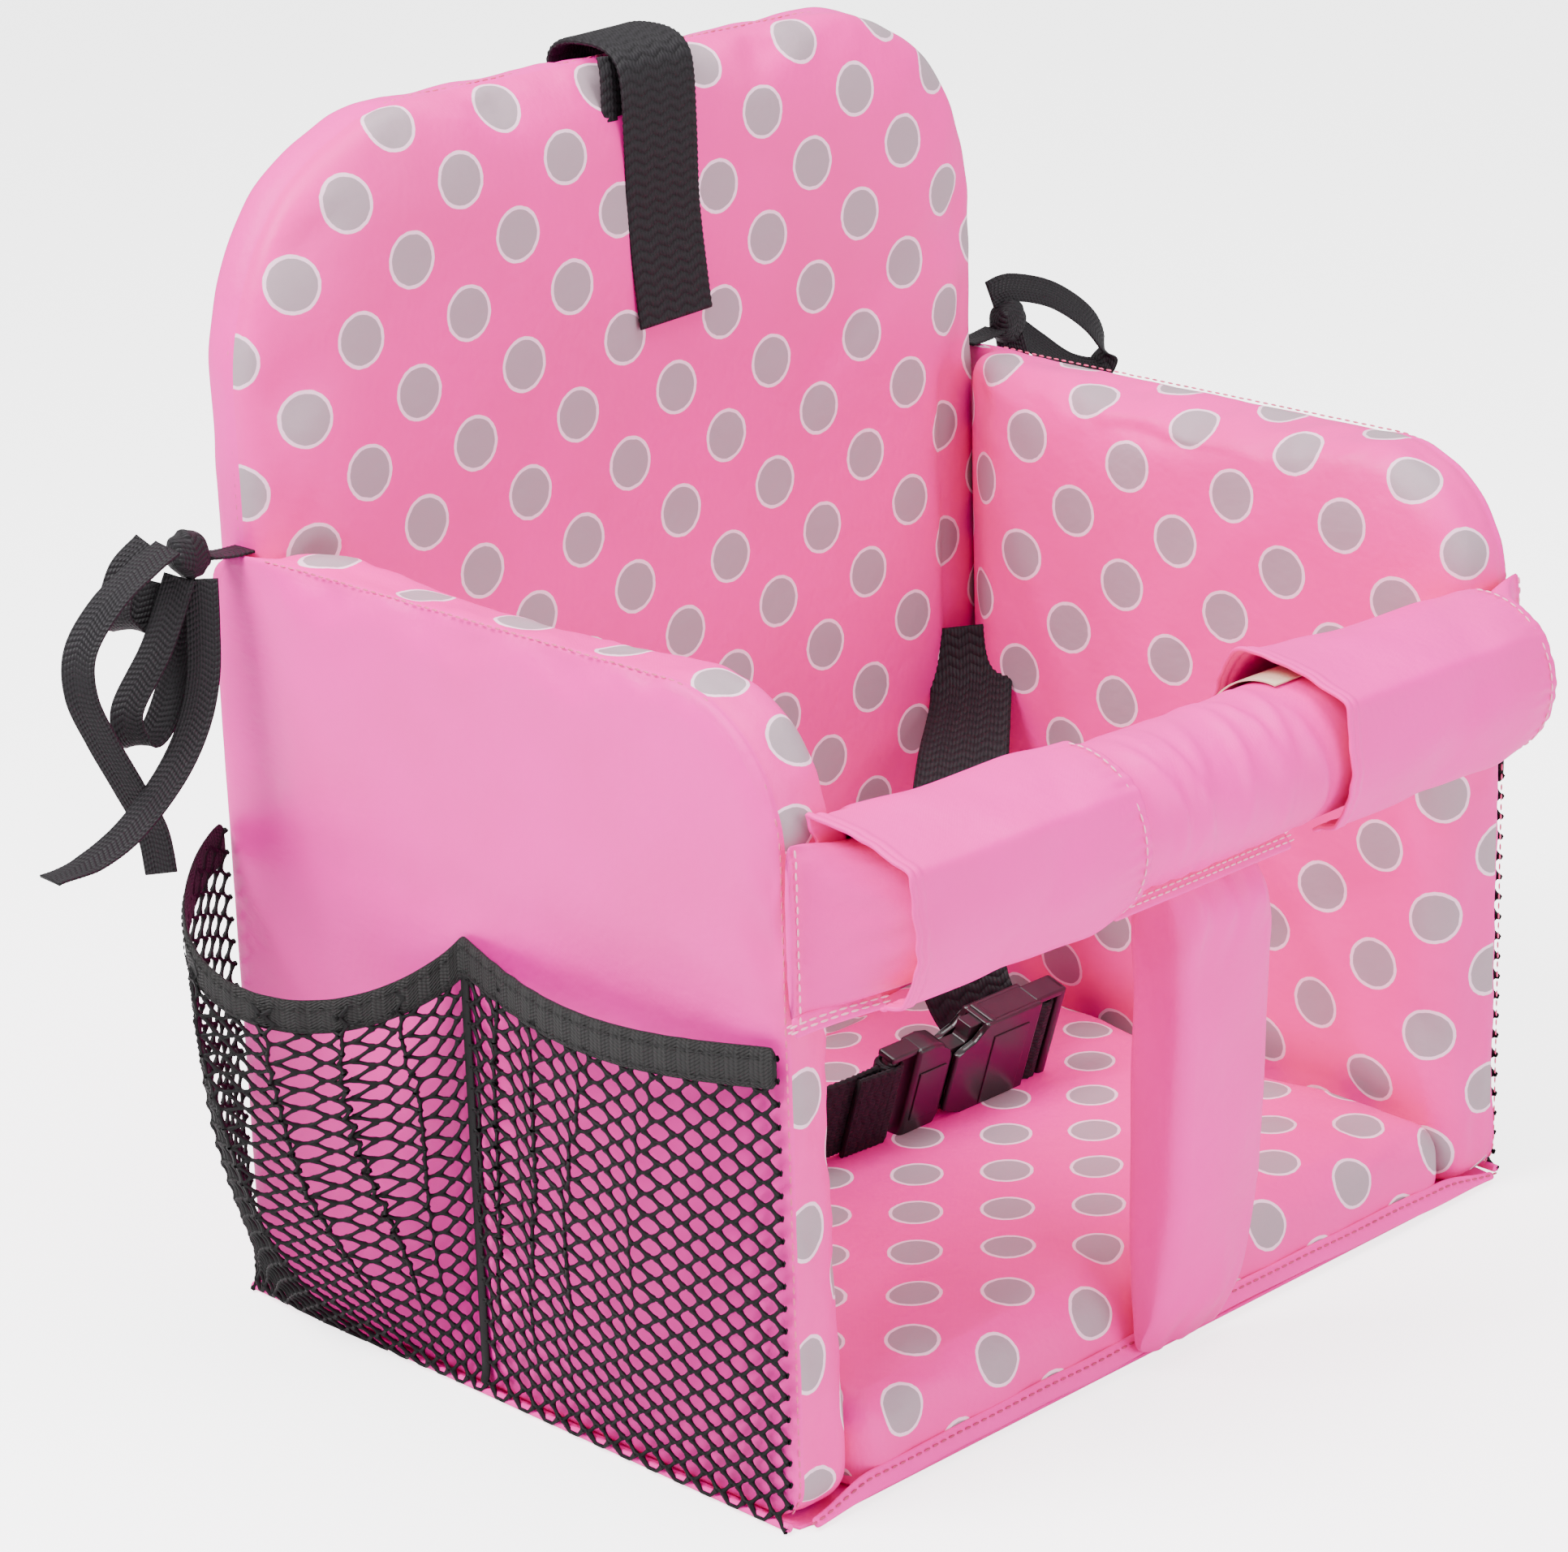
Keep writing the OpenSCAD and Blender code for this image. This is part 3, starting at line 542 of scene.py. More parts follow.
def makeNetTree():
    tree, kit, given, result = geometryTree("netStrands", [
        ("Radius", number, 0.0006), ("Knot", number, 0.5), ("Material", "NodeSocketMaterial", None)])
    curve = kit.add("GeometryNodeMeshToCurve", Mesh=given["Geometry"]).outputs[0]
    strands = kit.add("GeometryNodeResampleCurve", Curve=curve, Count=4).outputs[0]
    place = kit.add("GeometryNodeSplineParameter").outputs["Factor"]
    middle = kit.math("ABSOLUTE", kit.math("SUBTRACT", kit.math("MULTIPLY", place, 2.0), 1.0))
    thick = kit.math("MULTIPLY", given["Radius"],
                     kit.math("ADD", 1.0, kit.math("MULTIPLY", given["Knot"],
                                                   kit.math("POWER", middle, 3.0))))
    tubes = kit.add("GeometryNodeSetCurveRadius", Curve=strands, Radius=thick).outputs[0]
    ring = kit.add("GeometryNodeCurvePrimitiveCircle", Resolution=5, Radius=1.0).outputs[0]
    mesh = kit.add("GeometryNodeCurveToMesh", Curve=tubes, Profile_Curve=ring)
    if "Scale" in mesh.inputs:
        kit.feed(mesh, "Scale", kit.add("GeometryNodeInputRadius").outputs[0])
    real = kit.add("GeometryNodeRealizeInstances", Geometry=mesh.outputs[0]).outputs[0]
    rounded = kit.add("GeometryNodeSetShadeSmooth", Geometry=real).outputs[0]
    final = kit.add("GeometryNodeSetMaterial", Geometry=rounded, Material=given["Material"]).outputs[0]
    tree.links.new(final, result.inputs[0])
    return tree


trees = {"stitch": makeStitchTree(), "net": makeNetTree()}


def runTree(made, treeName, **values):
    modifier = made.modifiers.new(treeName, "NODES")
    modifier.node_group = trees[treeName]
    for socket in trees[treeName].interface.items_tree:
        if socket.in_out == "INPUT" and socket.name in values:
            modifier[socket.identifier] = values[socket.name]
    bake(made)
    return made


def stitchRun(name, routes, body, thread="thread", pitch=3.4, length=2.4, thickness=0.65):
    points, edges = [], []
    for route in routes:
        start = len(points)
        points += [tuple(p) for p in route]
        edges += [(k, k + 1) for k in range(start, len(points) - 1)]
    mesh = bpy.data.meshes.new(name)
    mesh.from_pydata((np.array(points) * mm).tolist(), edges, [])
    made = bpy.data.objects.new(name, mesh)
    bpy.context.scene.collection.objects.link(made)
    runTree(made, "stitch", Pitch=pitch * mm, Length=length * mm, Thickness=thickness * mm,
            Material=materials[thread])
    return finish(made, body)


# Padded panels


# Points and outward directions round a rectangle whose four corner radii may differ
def roundedOutline(low, high, radii, columns, rows):
    (a0, b0), (a1, b1) = low, high
    corners = [(a0, b0, 225), (a1, b0, 315), (a1, b1, 45), (a0, b1, 135)]
    centres = [(c[0] + math.copysign(r, (a0 + a1) / 2 - c[0]),
                c[1] + math.copysign(r, (b0 + b1) / 2 - c[1]))
               for c, r in zip(corners, radii)]
    points, outward = [], []
    for k in range(4):
        count = columns if k % 2 == 0 else rows
        n = (k + 1) % 4
        first, second = math.pi / 4 * radii[k], math.pi / 4 * radii[n]
        aim = math.radians(270 + 90 * k)
        start = np.array(centres[k]) + radii[k] * np.array([math.cos(aim), math.sin(aim)])
        end = np.array(centres[n]) + radii[n] * np.array([math.cos(aim), math.sin(aim)])
        straight = np.linalg.norm(end - start)
        for s in np.arange(count) / count * (first + straight + second):
            if s < first:
                turn = aim - math.pi / 4 + s / radii[k]
                centre, radius = centres[k], radii[k]
            elif s > first + straight:
                turn = aim + (s - first - straight) / radii[n]
                centre, radius = centres[n], radii[n]
            else:
                turn, centre, radius = aim, start + (end - start) * (s - first) / straight, 0
            outward.append((math.cos(turn), math.sin(turn)))
            points.append(np.array(centre) + radius * np.array(outward[-1]))
    return np.array(points), np.array(outward)


# Fills the space inside an outline with a grid that follows all four edges
def patchInside(edge, columns, rows):
    n = len(edge)
    bottom = edge[np.arange(0, columns + 1) % n]
    right = edge[(columns + np.arange(0, rows + 1)) % n]
    top = edge[(2 * columns + rows - np.arange(0, columns + 1)) % n]
    left = edge[(n - np.arange(0, rows + 1)) % n]
    u = np.linspace(0, 1, columns + 1)[None, :, None]
    v = np.linspace(0, 1, rows + 1)[:, None, None]
    mixed = (1 - v) * bottom[None] + v * top[None] + (1 - u) * left[:, None] + u * right[:, None]
    return (mixed - ((1 - u) * (1 - v) * bottom[0] + u * (1 - v) * bottom[-1] + (1 - u) * v * top[0]
                     + u * v * top[-1]))


# A cushion as one closed mesh: front sheet, rounded rim, wall and rear sheet
def panelMesh(name, spec, place):
    columns, rows = spec["cells"]
    thick, rim, rearRim = spec["thickness"], spec["rim"], spec["rearRim"]
    points, outward = roundedOutline(spec["low"], spec["high"], spec["radii"], columns, rows)
    loop = len(points)
    flatEdge = points - rim * outward
    profile = [(rim * math.sin(t), rim * (1 - math.cos(t))) for t in np.linspace(0, math.pi / 2, 5)[1:]]
    profile += [(rim, d) for d in np.linspace(rim, thick - rearRim, spec["wallRows"] + 1)[1:]]
    profile += [(rim - rearRim * (1 - math.cos(t)), thick - rearRim * (1 - math.sin(t)))
                for t in np.linspace(0, math.pi / 2, 4)[1:]]
    profile = [(0, 0)] + profile
    runs = np.concatenate([[0], np.cumsum([math.dist(p, q) for p, q in zip(profile, profile[1:])])])
    seam = int(np.argmin([abs(d - spec["seamDepth"]) + (0 if o > 0 else 99) for o, d in profile]))

    front = patchInside(flatEdge, columns, rows)
    rear = patchInside(flatEdge + outward * profile[-1][0], columns, rows)
    across, flat, depth, kind = [], [], [], []
    index = {}

    def addPoint(key, ab, uv, d, group):
        index[key] = len(across)
        across.append(ab)
        flat.append(uv)
        depth.append(d)
        kind.append(group)

    rim0 = {}
    for n in range(loop):
        i, j = edgeCell(n, columns, rows)
        rim0[(i, j)] = n
    for i in range(rows + 1):
        for j in range(columns + 1):
            key = ("ring", 0, rim0[(i, j)]) if (i, j) in rim0 else ("front", i, j)
            addPoint(key, front[i, j], front[i, j], 0, 0)
    for k in range(1, len(profile)):
        for n in range(loop):
            addPoint(("ring", k, n), flatEdge[n] + outward[n] * profile[k][0],
                     flatEdge[n] + outward[n] * runs[k], profile[k][1], k)
    last = len(profile) - 1
    for i in range(1, rows):
        for j in range(1, columns):
            addPoint(("rear", i, j), rear[i, j], rear[i, j], thick, last + 1)

    def at(side, i, j):
        if (i, j) in rim0:
            return index[("ring", 0 if side == "front" else last, rim0[(i, j)])]
        return index[(side, i, j)]

    faces, faceMaterial, uv = [], [], []
    across, flat, depth = np.array(across), np.array(flat), np.array(depth)
    for i in range(rows):
        for j in range(columns):
            f = (at("front", i, j), at("front", i, j + 1), at("front", i + 1, j + 1), at("front", i + 1, j))
            faces.append(f)
            faceMaterial.append(0)
            uv += [flat[v] for v in f]
            f = (at("rear", i, j), at("rear", i + 1, j), at("rear", i + 1, j + 1), at("rear", i, j + 1))
            faces.append(f)
            faceMaterial.append(1)
            uv += [across[v] for v in f]
    for k in range(last):
        for n in range(loop):
            m = (n + 1) % loop
            f = (index[("ring", k, n)], index[("ring", k + 1, n)], index[("ring", k + 1, m)],
                 index[("ring", k, m)])
            faces.append(f)
            faceMaterial.append(0 if k < seam else 1)
            uv += [flat[v] for v in f]
    turn = math.radians(spec["print"].get("turn", 0))
    uv = (np.array(uv) - np.array(spec["print"]["dotAt"])) / np.array(spec["print"].get("stretch", (1, 1)))
    uv = uv @ np.array([[math.cos(turn), math.sin(turn)], [-math.sin(turn), math.cos(turn)]])
    if "warp" in spec:
        across = spec["warp"](across, np.array(kind) >= spec["warpFrom"])
    world = place(across, depth)
    made = makeObject(name, world, faces, ["dotted", "plain"], faceMaterial, uv)
    turnOutward(made)
    info = {"across": across, "kind": np.array(kind), "last": last,
            "seamRing": np.array([index[("ring", seam, n)] for n in range(loop)])}
    return made, info


def edgeCell(n, columns, rows):
    if n < columns:
        return 0, n
    if n < columns + rows:
        return n - columns, columns
    if n < 2 * columns + rows:
        return rows, columns - (n - columns - rows)
    return rows - (n - 2 * columns - rows), 0


cloth = {"frames": 18, "quality": 5, "tension": 18.0, "shear": 8.0, "bending": 0.35, "mass": 0.15,
         "airDamping": 1.5}


# Blows a cushion up with a short cloth run and returns where its points end
def puff(made, pinned, pressure, grow):
    group = made.vertex_groups.new(name="held")
    group.add([int(v) for v in pinned], 1.0, "REPLACE")
    modifier = made.modifiers.new("puff", "CLOTH")
    settings = modifier.settings
    settings.quality = cloth["quality"]
    settings.mass = cloth["mass"]
    settings.tension_stiffness = settings.compression_stiffness = cloth["tension"]
    settings.shear_stiffness = cloth["shear"]
    settings.bending_stiffness = cloth["bending"]
    settings.air_damping = cloth["airDamping"]
    settings.use_pressure = True
    settings.uniform_pressure_force = pressure
    settings.shrink_min = -grow
    settings.vertex_group_mass = "held"
    settings.effector_weights.gravity = 0
    modifier.collision_settings.use_collision = False
    modifier.collision_settings.use_self_collision = False
    modifier.point_cache.frame_start, modifier.point_cache.frame_end = 1, cloth["frames"]
    scene = bpy.context.scene
    for step in range(1, cloth["frames"] + 1):
        scene.frame_set(step)
    evaluated = made.evaluated_get(bpy.context.evaluated_depsgraph_get())
    flat = np.zeros(len(evaluated.data.vertices) * 3)
    evaluated.data.vertices.foreach_get("co", flat)
    made.modifiers.clear()
    made.vertex_groups.clear()
    scene.frame_set(1)
    return flat.reshape(-1, 3) / mm


# Adds the puff, a soft crown, puckers along the seam and a few long creases
def shapePanel(made, info, spec):
    rest, normals = pointsOf(made), normalsOf(made)
    hold = spec["hold"](rest)
    moved = puff(made, info["seamRing"], spec["pressure"], spec["grow"])
    shift = moved - rest
    reach = np.linalg.norm(shift, axis=1, keepdims=True) + 1e-9
    shift *= spec["limit"] * np.tanh(reach / spec["limit"]) / reach
    fromSeam = spec["edgeDistance"](info["across"])
    front = info["kind"] <= info["last"] - 2
    crown = spec["crown"] * smooth(fromSeam, 0, 38) * np.where(front, 1.0, 0.35)
    ring = np.arctan2(info["across"][:, 1] - spec["middle"][1], info["across"][:, 0] - spec["middle"][0])
    around = (ring / math.tau + 0.5) * 1200
    pucker = (waves(spec["seed"], 1200, 40, 95)(around) * 0.75
              * np.exp(-np.clip(fromSeam - 3, 0, None) / 9) * smooth(fromSeam, -1, 4))
    relief = np.zeros(len(rest))
    for (p, q, width, height) in spec["creases"]:
        p, q = np.array(p, float), np.array(q, float)
        along = (info["across"] - p) @ (q - p) / ((q - p) @ (q - p))
        aside = (info["across"] - p) @ np.array([p[1] - q[1], q[0] - p[0]]) / np.linalg.norm(q - p)
        aside = aside + 5 * np.sin(along * 5 + p[0])
        relief += (height * np.exp(-(aside / width) ** 2) * smooth(along, -0.1, 0.25)
                   * (1 - smooth(along, 0.7, 1.1)))
    swell = (crown + pucker + relief * front)[:, None] * normals
    final = rest + (shift + swell) * hold[:, None]
    seamPull = np.zeros(len(rest))
    seamPull[info["seamRing"]] = 1.0
    final -= normals * (seamPull * spec["seamPull"])[:, None]
    final = spec["keep"](final)
    setPoints(made, final)
    subdivide(made)


def ringRoute(made, info, out, part):
    points, normals = pointsOf(made), normalsOf(made)
    ids = info["seamRing"]
    route = points[ids] + normals[ids] * out
    return route[part(route)]


backFace, halfWidth = 104.0, 165.0

backSpec = {
    "low": (-160.5, 1.5), "high": (160.5, 376), "radii": (12, 12, 78, 78), "cells": (62, 72),
    "thickness": 25, "rim": 8.5, "rearRim": 7, "wallRows": 3, "seamDepth": 8.5,
    "print": {"dotAt": (-34.3, 308.4), "stretch": (1.01, 1.0)},
    "pressure": 2.2, "grow": 0.012, "limit": 4.0, "crown": 2.2, "middle": (0, 180), "seed": 4,
    "seamPull": 0.9, "creases": [((-150, 40), (60, 150), 9, 1.6), ((-150, 250), (-30, 215), 8, 1.3),
                ((150, 60), (20, 190), 9, 1.4),
                ((150, 150), (40, 240), 7, 1.2), ((-140, 140), (-40, 60), 10, -1.4),
                ((150, 300), (60, 250), 7, -1.1),
                ((-100, 350), (-20, 260), 9, 1.0), ((110, 120), (150, 20), 7, 1.2)],
    "edgeDistance": lambda ab: np.minimum(np.minimum(160.5 - np.abs(ab[:, 0]), 376 - ab[:, 1]),
                                          ab[:, 1] - 1.5),
    "hold": lambda p: (np.where((np.abs(p[:, 0]) > 134) & (p[:, 2] < 246) & (p[:, 1] < 116), 0.0, 1.0)
                       * smooth(p[:, 2], 2, 26) * (0.25 + 0.75 * smooth(157 - np.abs(p[:, 0]), 0, 9))),
    "keep": lambda p: np.stack([np.clip(p[:, 0], -161.6, 161.6), np.clip(p[:, 1], 98, 131),
                                np.clip(p[:, 2], 1.4, 378.5)], 1)}


def makeBack():
    def place(ab, d):
        return np.stack([ab[:, 0], backFace + d, ab[:, 1]], 1)

    made, info = panelMesh("backPad", backSpec, place)
    shapePanel(made, info, backSpec)
    finish(made, "back",
           ("back_cover_front", "back_cover_rear", "back_foam", "back_board"))
    route = ringRoute(made, info, out=0.2, part=lambda p: p[:, 2] > 8)
    cut = int(np.argmax(np.linalg.norm(np.diff(route, axis=0), axis=1))) + 1
    route = np.roll(route, -cut, axis=0)
    stitchRun("backSeamStitches", [route + np.array([0, 2.2, 0])], "back")


seatSpec = {
    "low": (-139.7, -120), "high": (139.7, 103.7), "radii": (11, 11, 9, 9), "cells": (56, 46),
    "thickness": 25.8, "rim": 10, "rearRim": 4, "wallRows": 3, "seamDepth": 21.5,
    "print": {"dotAt": (29.5, -23.1), "stretch": (0.985, 0.945)},
    "pressure": 2.2, "grow": 0.012, "limit": 3.5, "crown": 1.8, "middle": (0, -8), "seed": 9,
    "seamPull": 0.9, "creases": [((-130, -112), (-60, -60), 8, -1.2), ((130, -112), (70, -50), 8, -1.3),
                ((-130, 90), (-50, 40), 8, -1.0),
                ((20, -118), (50, -60), 8, 1.0), ((-20, -118), (-50, -70), 8, 0.9),
                ((130, 90), (60, 50), 8, 1.0)],
    "edgeDistance": lambda ab: np.minimum(np.minimum(139.7 - np.abs(ab[:, 0]), 103.7 - ab[:, 1]),
                                          ab[:, 1] + 120),
    "hold": lambda p: smooth(p[:, 2], 1.5, 9),
    "keep": lambda p: np.stack([np.clip(p[:, 0], -139.9, 139.9), np.clip(p[:, 1], -122, 103.9),
                                np.clip(p[:, 2], 1.25, 33)], 1)}


seatLip = {"top": 7.2, "lift": 2.4, "wave": 0.35}


def makeSeat():
    made, info = panelMesh("seatPad", seatSpec, lambda ab, d: np.stack([ab[:, 0], ab[:, 1], 27 - d], 1))
    shapePanel(made, info, seatSpec)
    finish(made, "seat", ("seat_cover_top", "seat_foam", "seat_board"))
    x = np.linspace(-161, 161, 120)
    lift = (seatLip["lift"] * np.cos(x / 162 * math.pi / 2) ** 0.6
            + seatLip["wave"] * waves(14, 340, 3, 9)(x + 170))
    ends = smooth(np.abs(x), 134, 161)
    inner = np.stack([x, -119.4 - 1.2 * ends, seatLip["top"] + lift * 0.7 - 4.0 * ends], 1)
    outer = np.stack([x, -122.6 + 0.5 * np.sin(x / 23), 1.0 + lift], 1)
    flangeBand("seatLip", inner, outer, 1.4, "seat", False, ("seam_front",))
    rows = [inner + (outer - inner) * 0.22 + np.array([0, -1.05, 0.1])]
    stitchRun("seatLipStitches", rows, "seat", "darkThread", 3.5, 2.5, 0.85)


sideSpec = {
    "low": (-120, 1.5), "high": (103.7, 250), "radii": (11, 11, 11, 45), "cells": (46, 50), "thickness": 25,
    "rim": 9, "rearRim": 3, "wallRows": 4, "seamDepth": 22, "flange": 21.3, "warpFrom": 8,
    "pressure": 2.2, "grow": 0.014, "limit": 3.6, "crown": 1.5, "middle": (-8, 120), "seamPull": 0.9,
    "rearThickness": 13, "thinFrom": 80,
    "edgeDistance": lambda ab: np.minimum(np.minimum(ab[:, 0] + 120, 250 - ab[:, 1]), ab[:, 1] - 1.5)}

sideLooks = {
    "left": {"print": {"dotAt": (-5, 133.5)}, "seed": 21,
             "creases": [((-110, 30), (-40, 110), 9, 1.3), ((-100, 200), (-20, 140), 9, -1.2),
                         ((60, 40), (-20, 100), 9, 1.2)]},
    "right": {"print": {"dotAt": (15.7, 227.1), "stretch": (1.055, 1.0), "turn": -2.5}, "seed": 33,
              "creases": [((-112, 20), (-30, 120), 9, 1.8), ((-110, 110), (-20, 60), 8, -1.5),
                          ((-60, 235), (40, 120), 9, 1.3), ((80, 240), (30, 90), 8, 1.4),
                          ((95, 40), (10, 100), 8, 1.5), ((-115, 170), (-50, 120), 7, 1.3)]}}


def sideWarp(ab, rear):
    ab = ab.copy()
    share = np.clip((ab[:, 0] - 60) / 43.7, 0, 1) ** 2
    ab[:, 0] += np.where(rear, sideSpec["flange"] * share, 0)
    return ab


def makeSide(sign):
    side = "left" if sign < 0 else "right"
    spec = {**sideSpec, **sideLooks[side], "warp": sideWarp}

    def place(ab, d):
        thin = 1 - spec["rearThickness"] / spec["thickness"]
        run = spec["high"][0] - spec["thinFrom"]
        squeeze = 1 - thin * np.clip((ab[:, 0] - spec["thinFrom"]) / run, 0, 1)
        return np.stack([sign * (halfWidth - (spec["thickness"] - d) * squeeze), ab[:, 0], ab[:, 1]], 1)

    def hold(p):
        foot = smooth(p[:, 2], 2, 34)
        rear = 1 - 0.9 * smooth(p[:, 1], 78, 98)
        lining = np.where(np.abs(p[:, 0]) < 150, smooth(p[:, 2], 20, 46), 1.0)
        return foot * rear * lining

    def keep(p):
        widest = 165.3 + 1.6 * smooth(p[:, 2], 158, 176)
        x = np.sign(p[:, 0]) * np.clip(np.abs(p[:, 0]), 132, widest)
        return np.stack([x, np.clip(p[:, 1], -124.5, 126), np.clip(p[:, 2], 0.6, 254)], 1)

    spec["hold"], spec["keep"] = hold, keep
    name = f"side{side.capitalize()}Pad"
    made, info = panelMesh(name, spec, place)
    shapePanel(made, info, spec)
    prefix = f"side_{side}_"
    covered = tuple(prefix + n for n in ("cover_inner", "cover_outer", "foam", "board"))
    finish(made, f"side_{side}", covered)

    def shown(p):
        return ((p[:, 1] < -100) | (p[:, 2] > 235)) & (p[:, 2] > 5) & (p[:, 1] < 100)

    route = ringRoute(made, info, out=0.25, part=shown)
    cut = int(np.argmax(np.linalg.norm(np.diff(route, axis=0), axis=1))) + 1
    route = np.roll(route, -cut, axis=0) if np.linalg.norm(route[0] - route[-1]) < 30 else route
    stitchRun(f"side{side.capitalize()}Stitches", [route + np.array([sign * 1.6, 0, 0])], f"side_{side}")


# Front rail, stubs, wraps and crotch pad

railAt = {"y": -130.0, "z": 186.0, "radius": 24.0, "stub": 22.4, "wrap": 26.5, "half": 99.3}


def aroundRail(x, turn, radius):
    t = np.radians(turn)
    return np.stack([x + 0 * t, railAt["y"] + radius * np.sin(t), railAt["z"] - radius * np.cos(t)], -1)


# A closed tube from rings of points, with both ends capped
def tubeObject(name, grid, materialName="plain"):
    rows, columns = grid.shape[:2]
    faces, corners = sheetGrid(rows, columns, closedColumns=True)
    points = grid.reshape(-1, 3)
    closed = np.concatenate([grid, grid[:, :1]], axis=1)
    around = np.cumsum(np.linalg.norm(np.diff(closed[rows // 2], axis=0), axis=1))
    around = np.concatenate([[0], around])
    along = np.concatenate([[0], np.cumsum(np.linalg.norm(np.diff(grid.mean(axis=1), axis=0), axis=1))])
    uv = np.stack([along[corners[:, 0]], around[corners[:, 1]]], 1)
    cap(faces, list(range(columns)))
    cap(faces, list(range((rows - 1) * columns, rows * columns)), True)
    extra = [(0, 0)] * (2 * columns)
    made = makeObject(name, points, faces, [materialName], None, np.concatenate([uv, extra]))
    turnOutward(made)
    return made


rail = {"cell": 2.3, "turns": 72, "foldWidth": (1.3, 2.6), "foldHeight": (0.9, 2.1),
        "foldPlace": (-42, 34), "foldSlant": (-7, 7), "foldTurn": (205, 275), "foldReach": (30, 62),
        "folds": 17, "seed": 12}


def makeRail():
    half = railAt["half"]
    inside = np.arange(-half + 6, half - 5.9, rail["cell"])
    xs = np.concatenate([[-half, -half + 0.4, -half + 1.4, -half + 3.2], inside,
                         [half - 3.2, half - 1.4, half - 0.4, half]])
    shrink = np.ones(len(xs))
    shrink[:4] = shrink[-1:-5:-1] = (0.35, 0.72, 0.92, 0.985)
    turns = np.arange(rail["turns"]) * 360 / rail["turns"]
    x, turn = np.meshgrid(xs, turns, indexing="ij")
    radius = np.full(x.shape, railAt["radius"] - 0.9)
    rng = np.random.default_rng(rail["seed"])
    for _ in range(rail["folds"]):
        middle = rng.uniform(*rail["foldPlace"])
        width = rng.uniform(*rail["foldWidth"])
        height = rng.uniform(*rail["foldHeight"])
        slant = rng.uniform(*rail["foldSlant"])
        centre = rng.uniform(*rail["foldTurn"])
        reach = rng.uniform(*rail["foldReach"])
        aside = (x - middle - slant * (turn - centre) / 60) / width
        radius += (height * np.exp(-aside ** 2) * np.exp(-((turn - centre) / reach) ** 2)
                   * smooth(x, -50, -42) * smooth(-x, -38, -31))
    radius += 0.5 * np.sin(x / 17 + turn / 40) - 1.1 * np.exp(-((turn - 338) / 9) ** 2)
    radius += (0.7 * waves(5, 100, 8, 16)(x) * np.exp(-((turn - 322) / 14) ** 2) * smooth(x, -50, -42)
               * smooth(-x, -38, -31))
    grid = aroundRail(x, turn, radius * shrink[:, None])
    made = subdivide(tubeObject("railPad", grid))
    finish(made, "rail", ("rail_cover", "rail_foam", "rail_rod"))


# A thin sewn edge between two lines, with a double row of stitches
def flangeBand(name, inner, outer, thick, body, stitches=True, replaces=()):
    inner, outer = np.asarray(inner, float), np.asarray(outer, float)
    along = np.gradient(inner, axis=0)
    side = np.cross(along, outer - inner)
    side /= np.linalg.norm(side, axis=1, keepdims=True)
    ring = [(0, -1), (0.5, -1), (0.93, -0.8), (1, 0), (0.93, 0.8), (0.5, 1), (0, 1), (-0.1, 0)]
    grid = np.stack([inner + (outer - inner) * a + side * b * thick / 2 for a, b in ring], 1)
    made = subdivide(tubeObject(name, grid))
    finish(made, body, replaces)
    if stitches:
        rows = [inner + (outer - inner) * a + side * s * (thick / 2 + 0.15) for a in (0.34, 0.62)
                for s in (-1, 1)]
        stitchRun(name + "Stitches", rows, body, "paleThread", 2.9, 2.5, 0.75)


railFlange = {"low": -52, "high": 29, "points": 42, "innerTurn": 338, "innerRadius": 22.6, "outerTurn": 334,
              "outerRadius": 28.3, "wobble": 1.2, "thick": 1.8}


def makeRailFlange():
    x = np.linspace(railFlange["low"], railFlange["high"], railFlange["points"])
    wobble = railFlange["wobble"] * np.sin(x / 9)
    inner = aroundRail(x, railFlange["innerTurn"] + wobble, railFlange["innerRadius"])
    outer = aroundRail(x, railFlange["outerTurn"] + wobble, railFlange["outerRadius"])
    flangeBand("railFlange", inner, outer, railFlange["thick"], "rail")


stub = {"flatY": -123.0, "flatZ": 184.5, "flatHalf": 26.5, "turns": 60, "seeds": {"left": 31, "right": 37}}


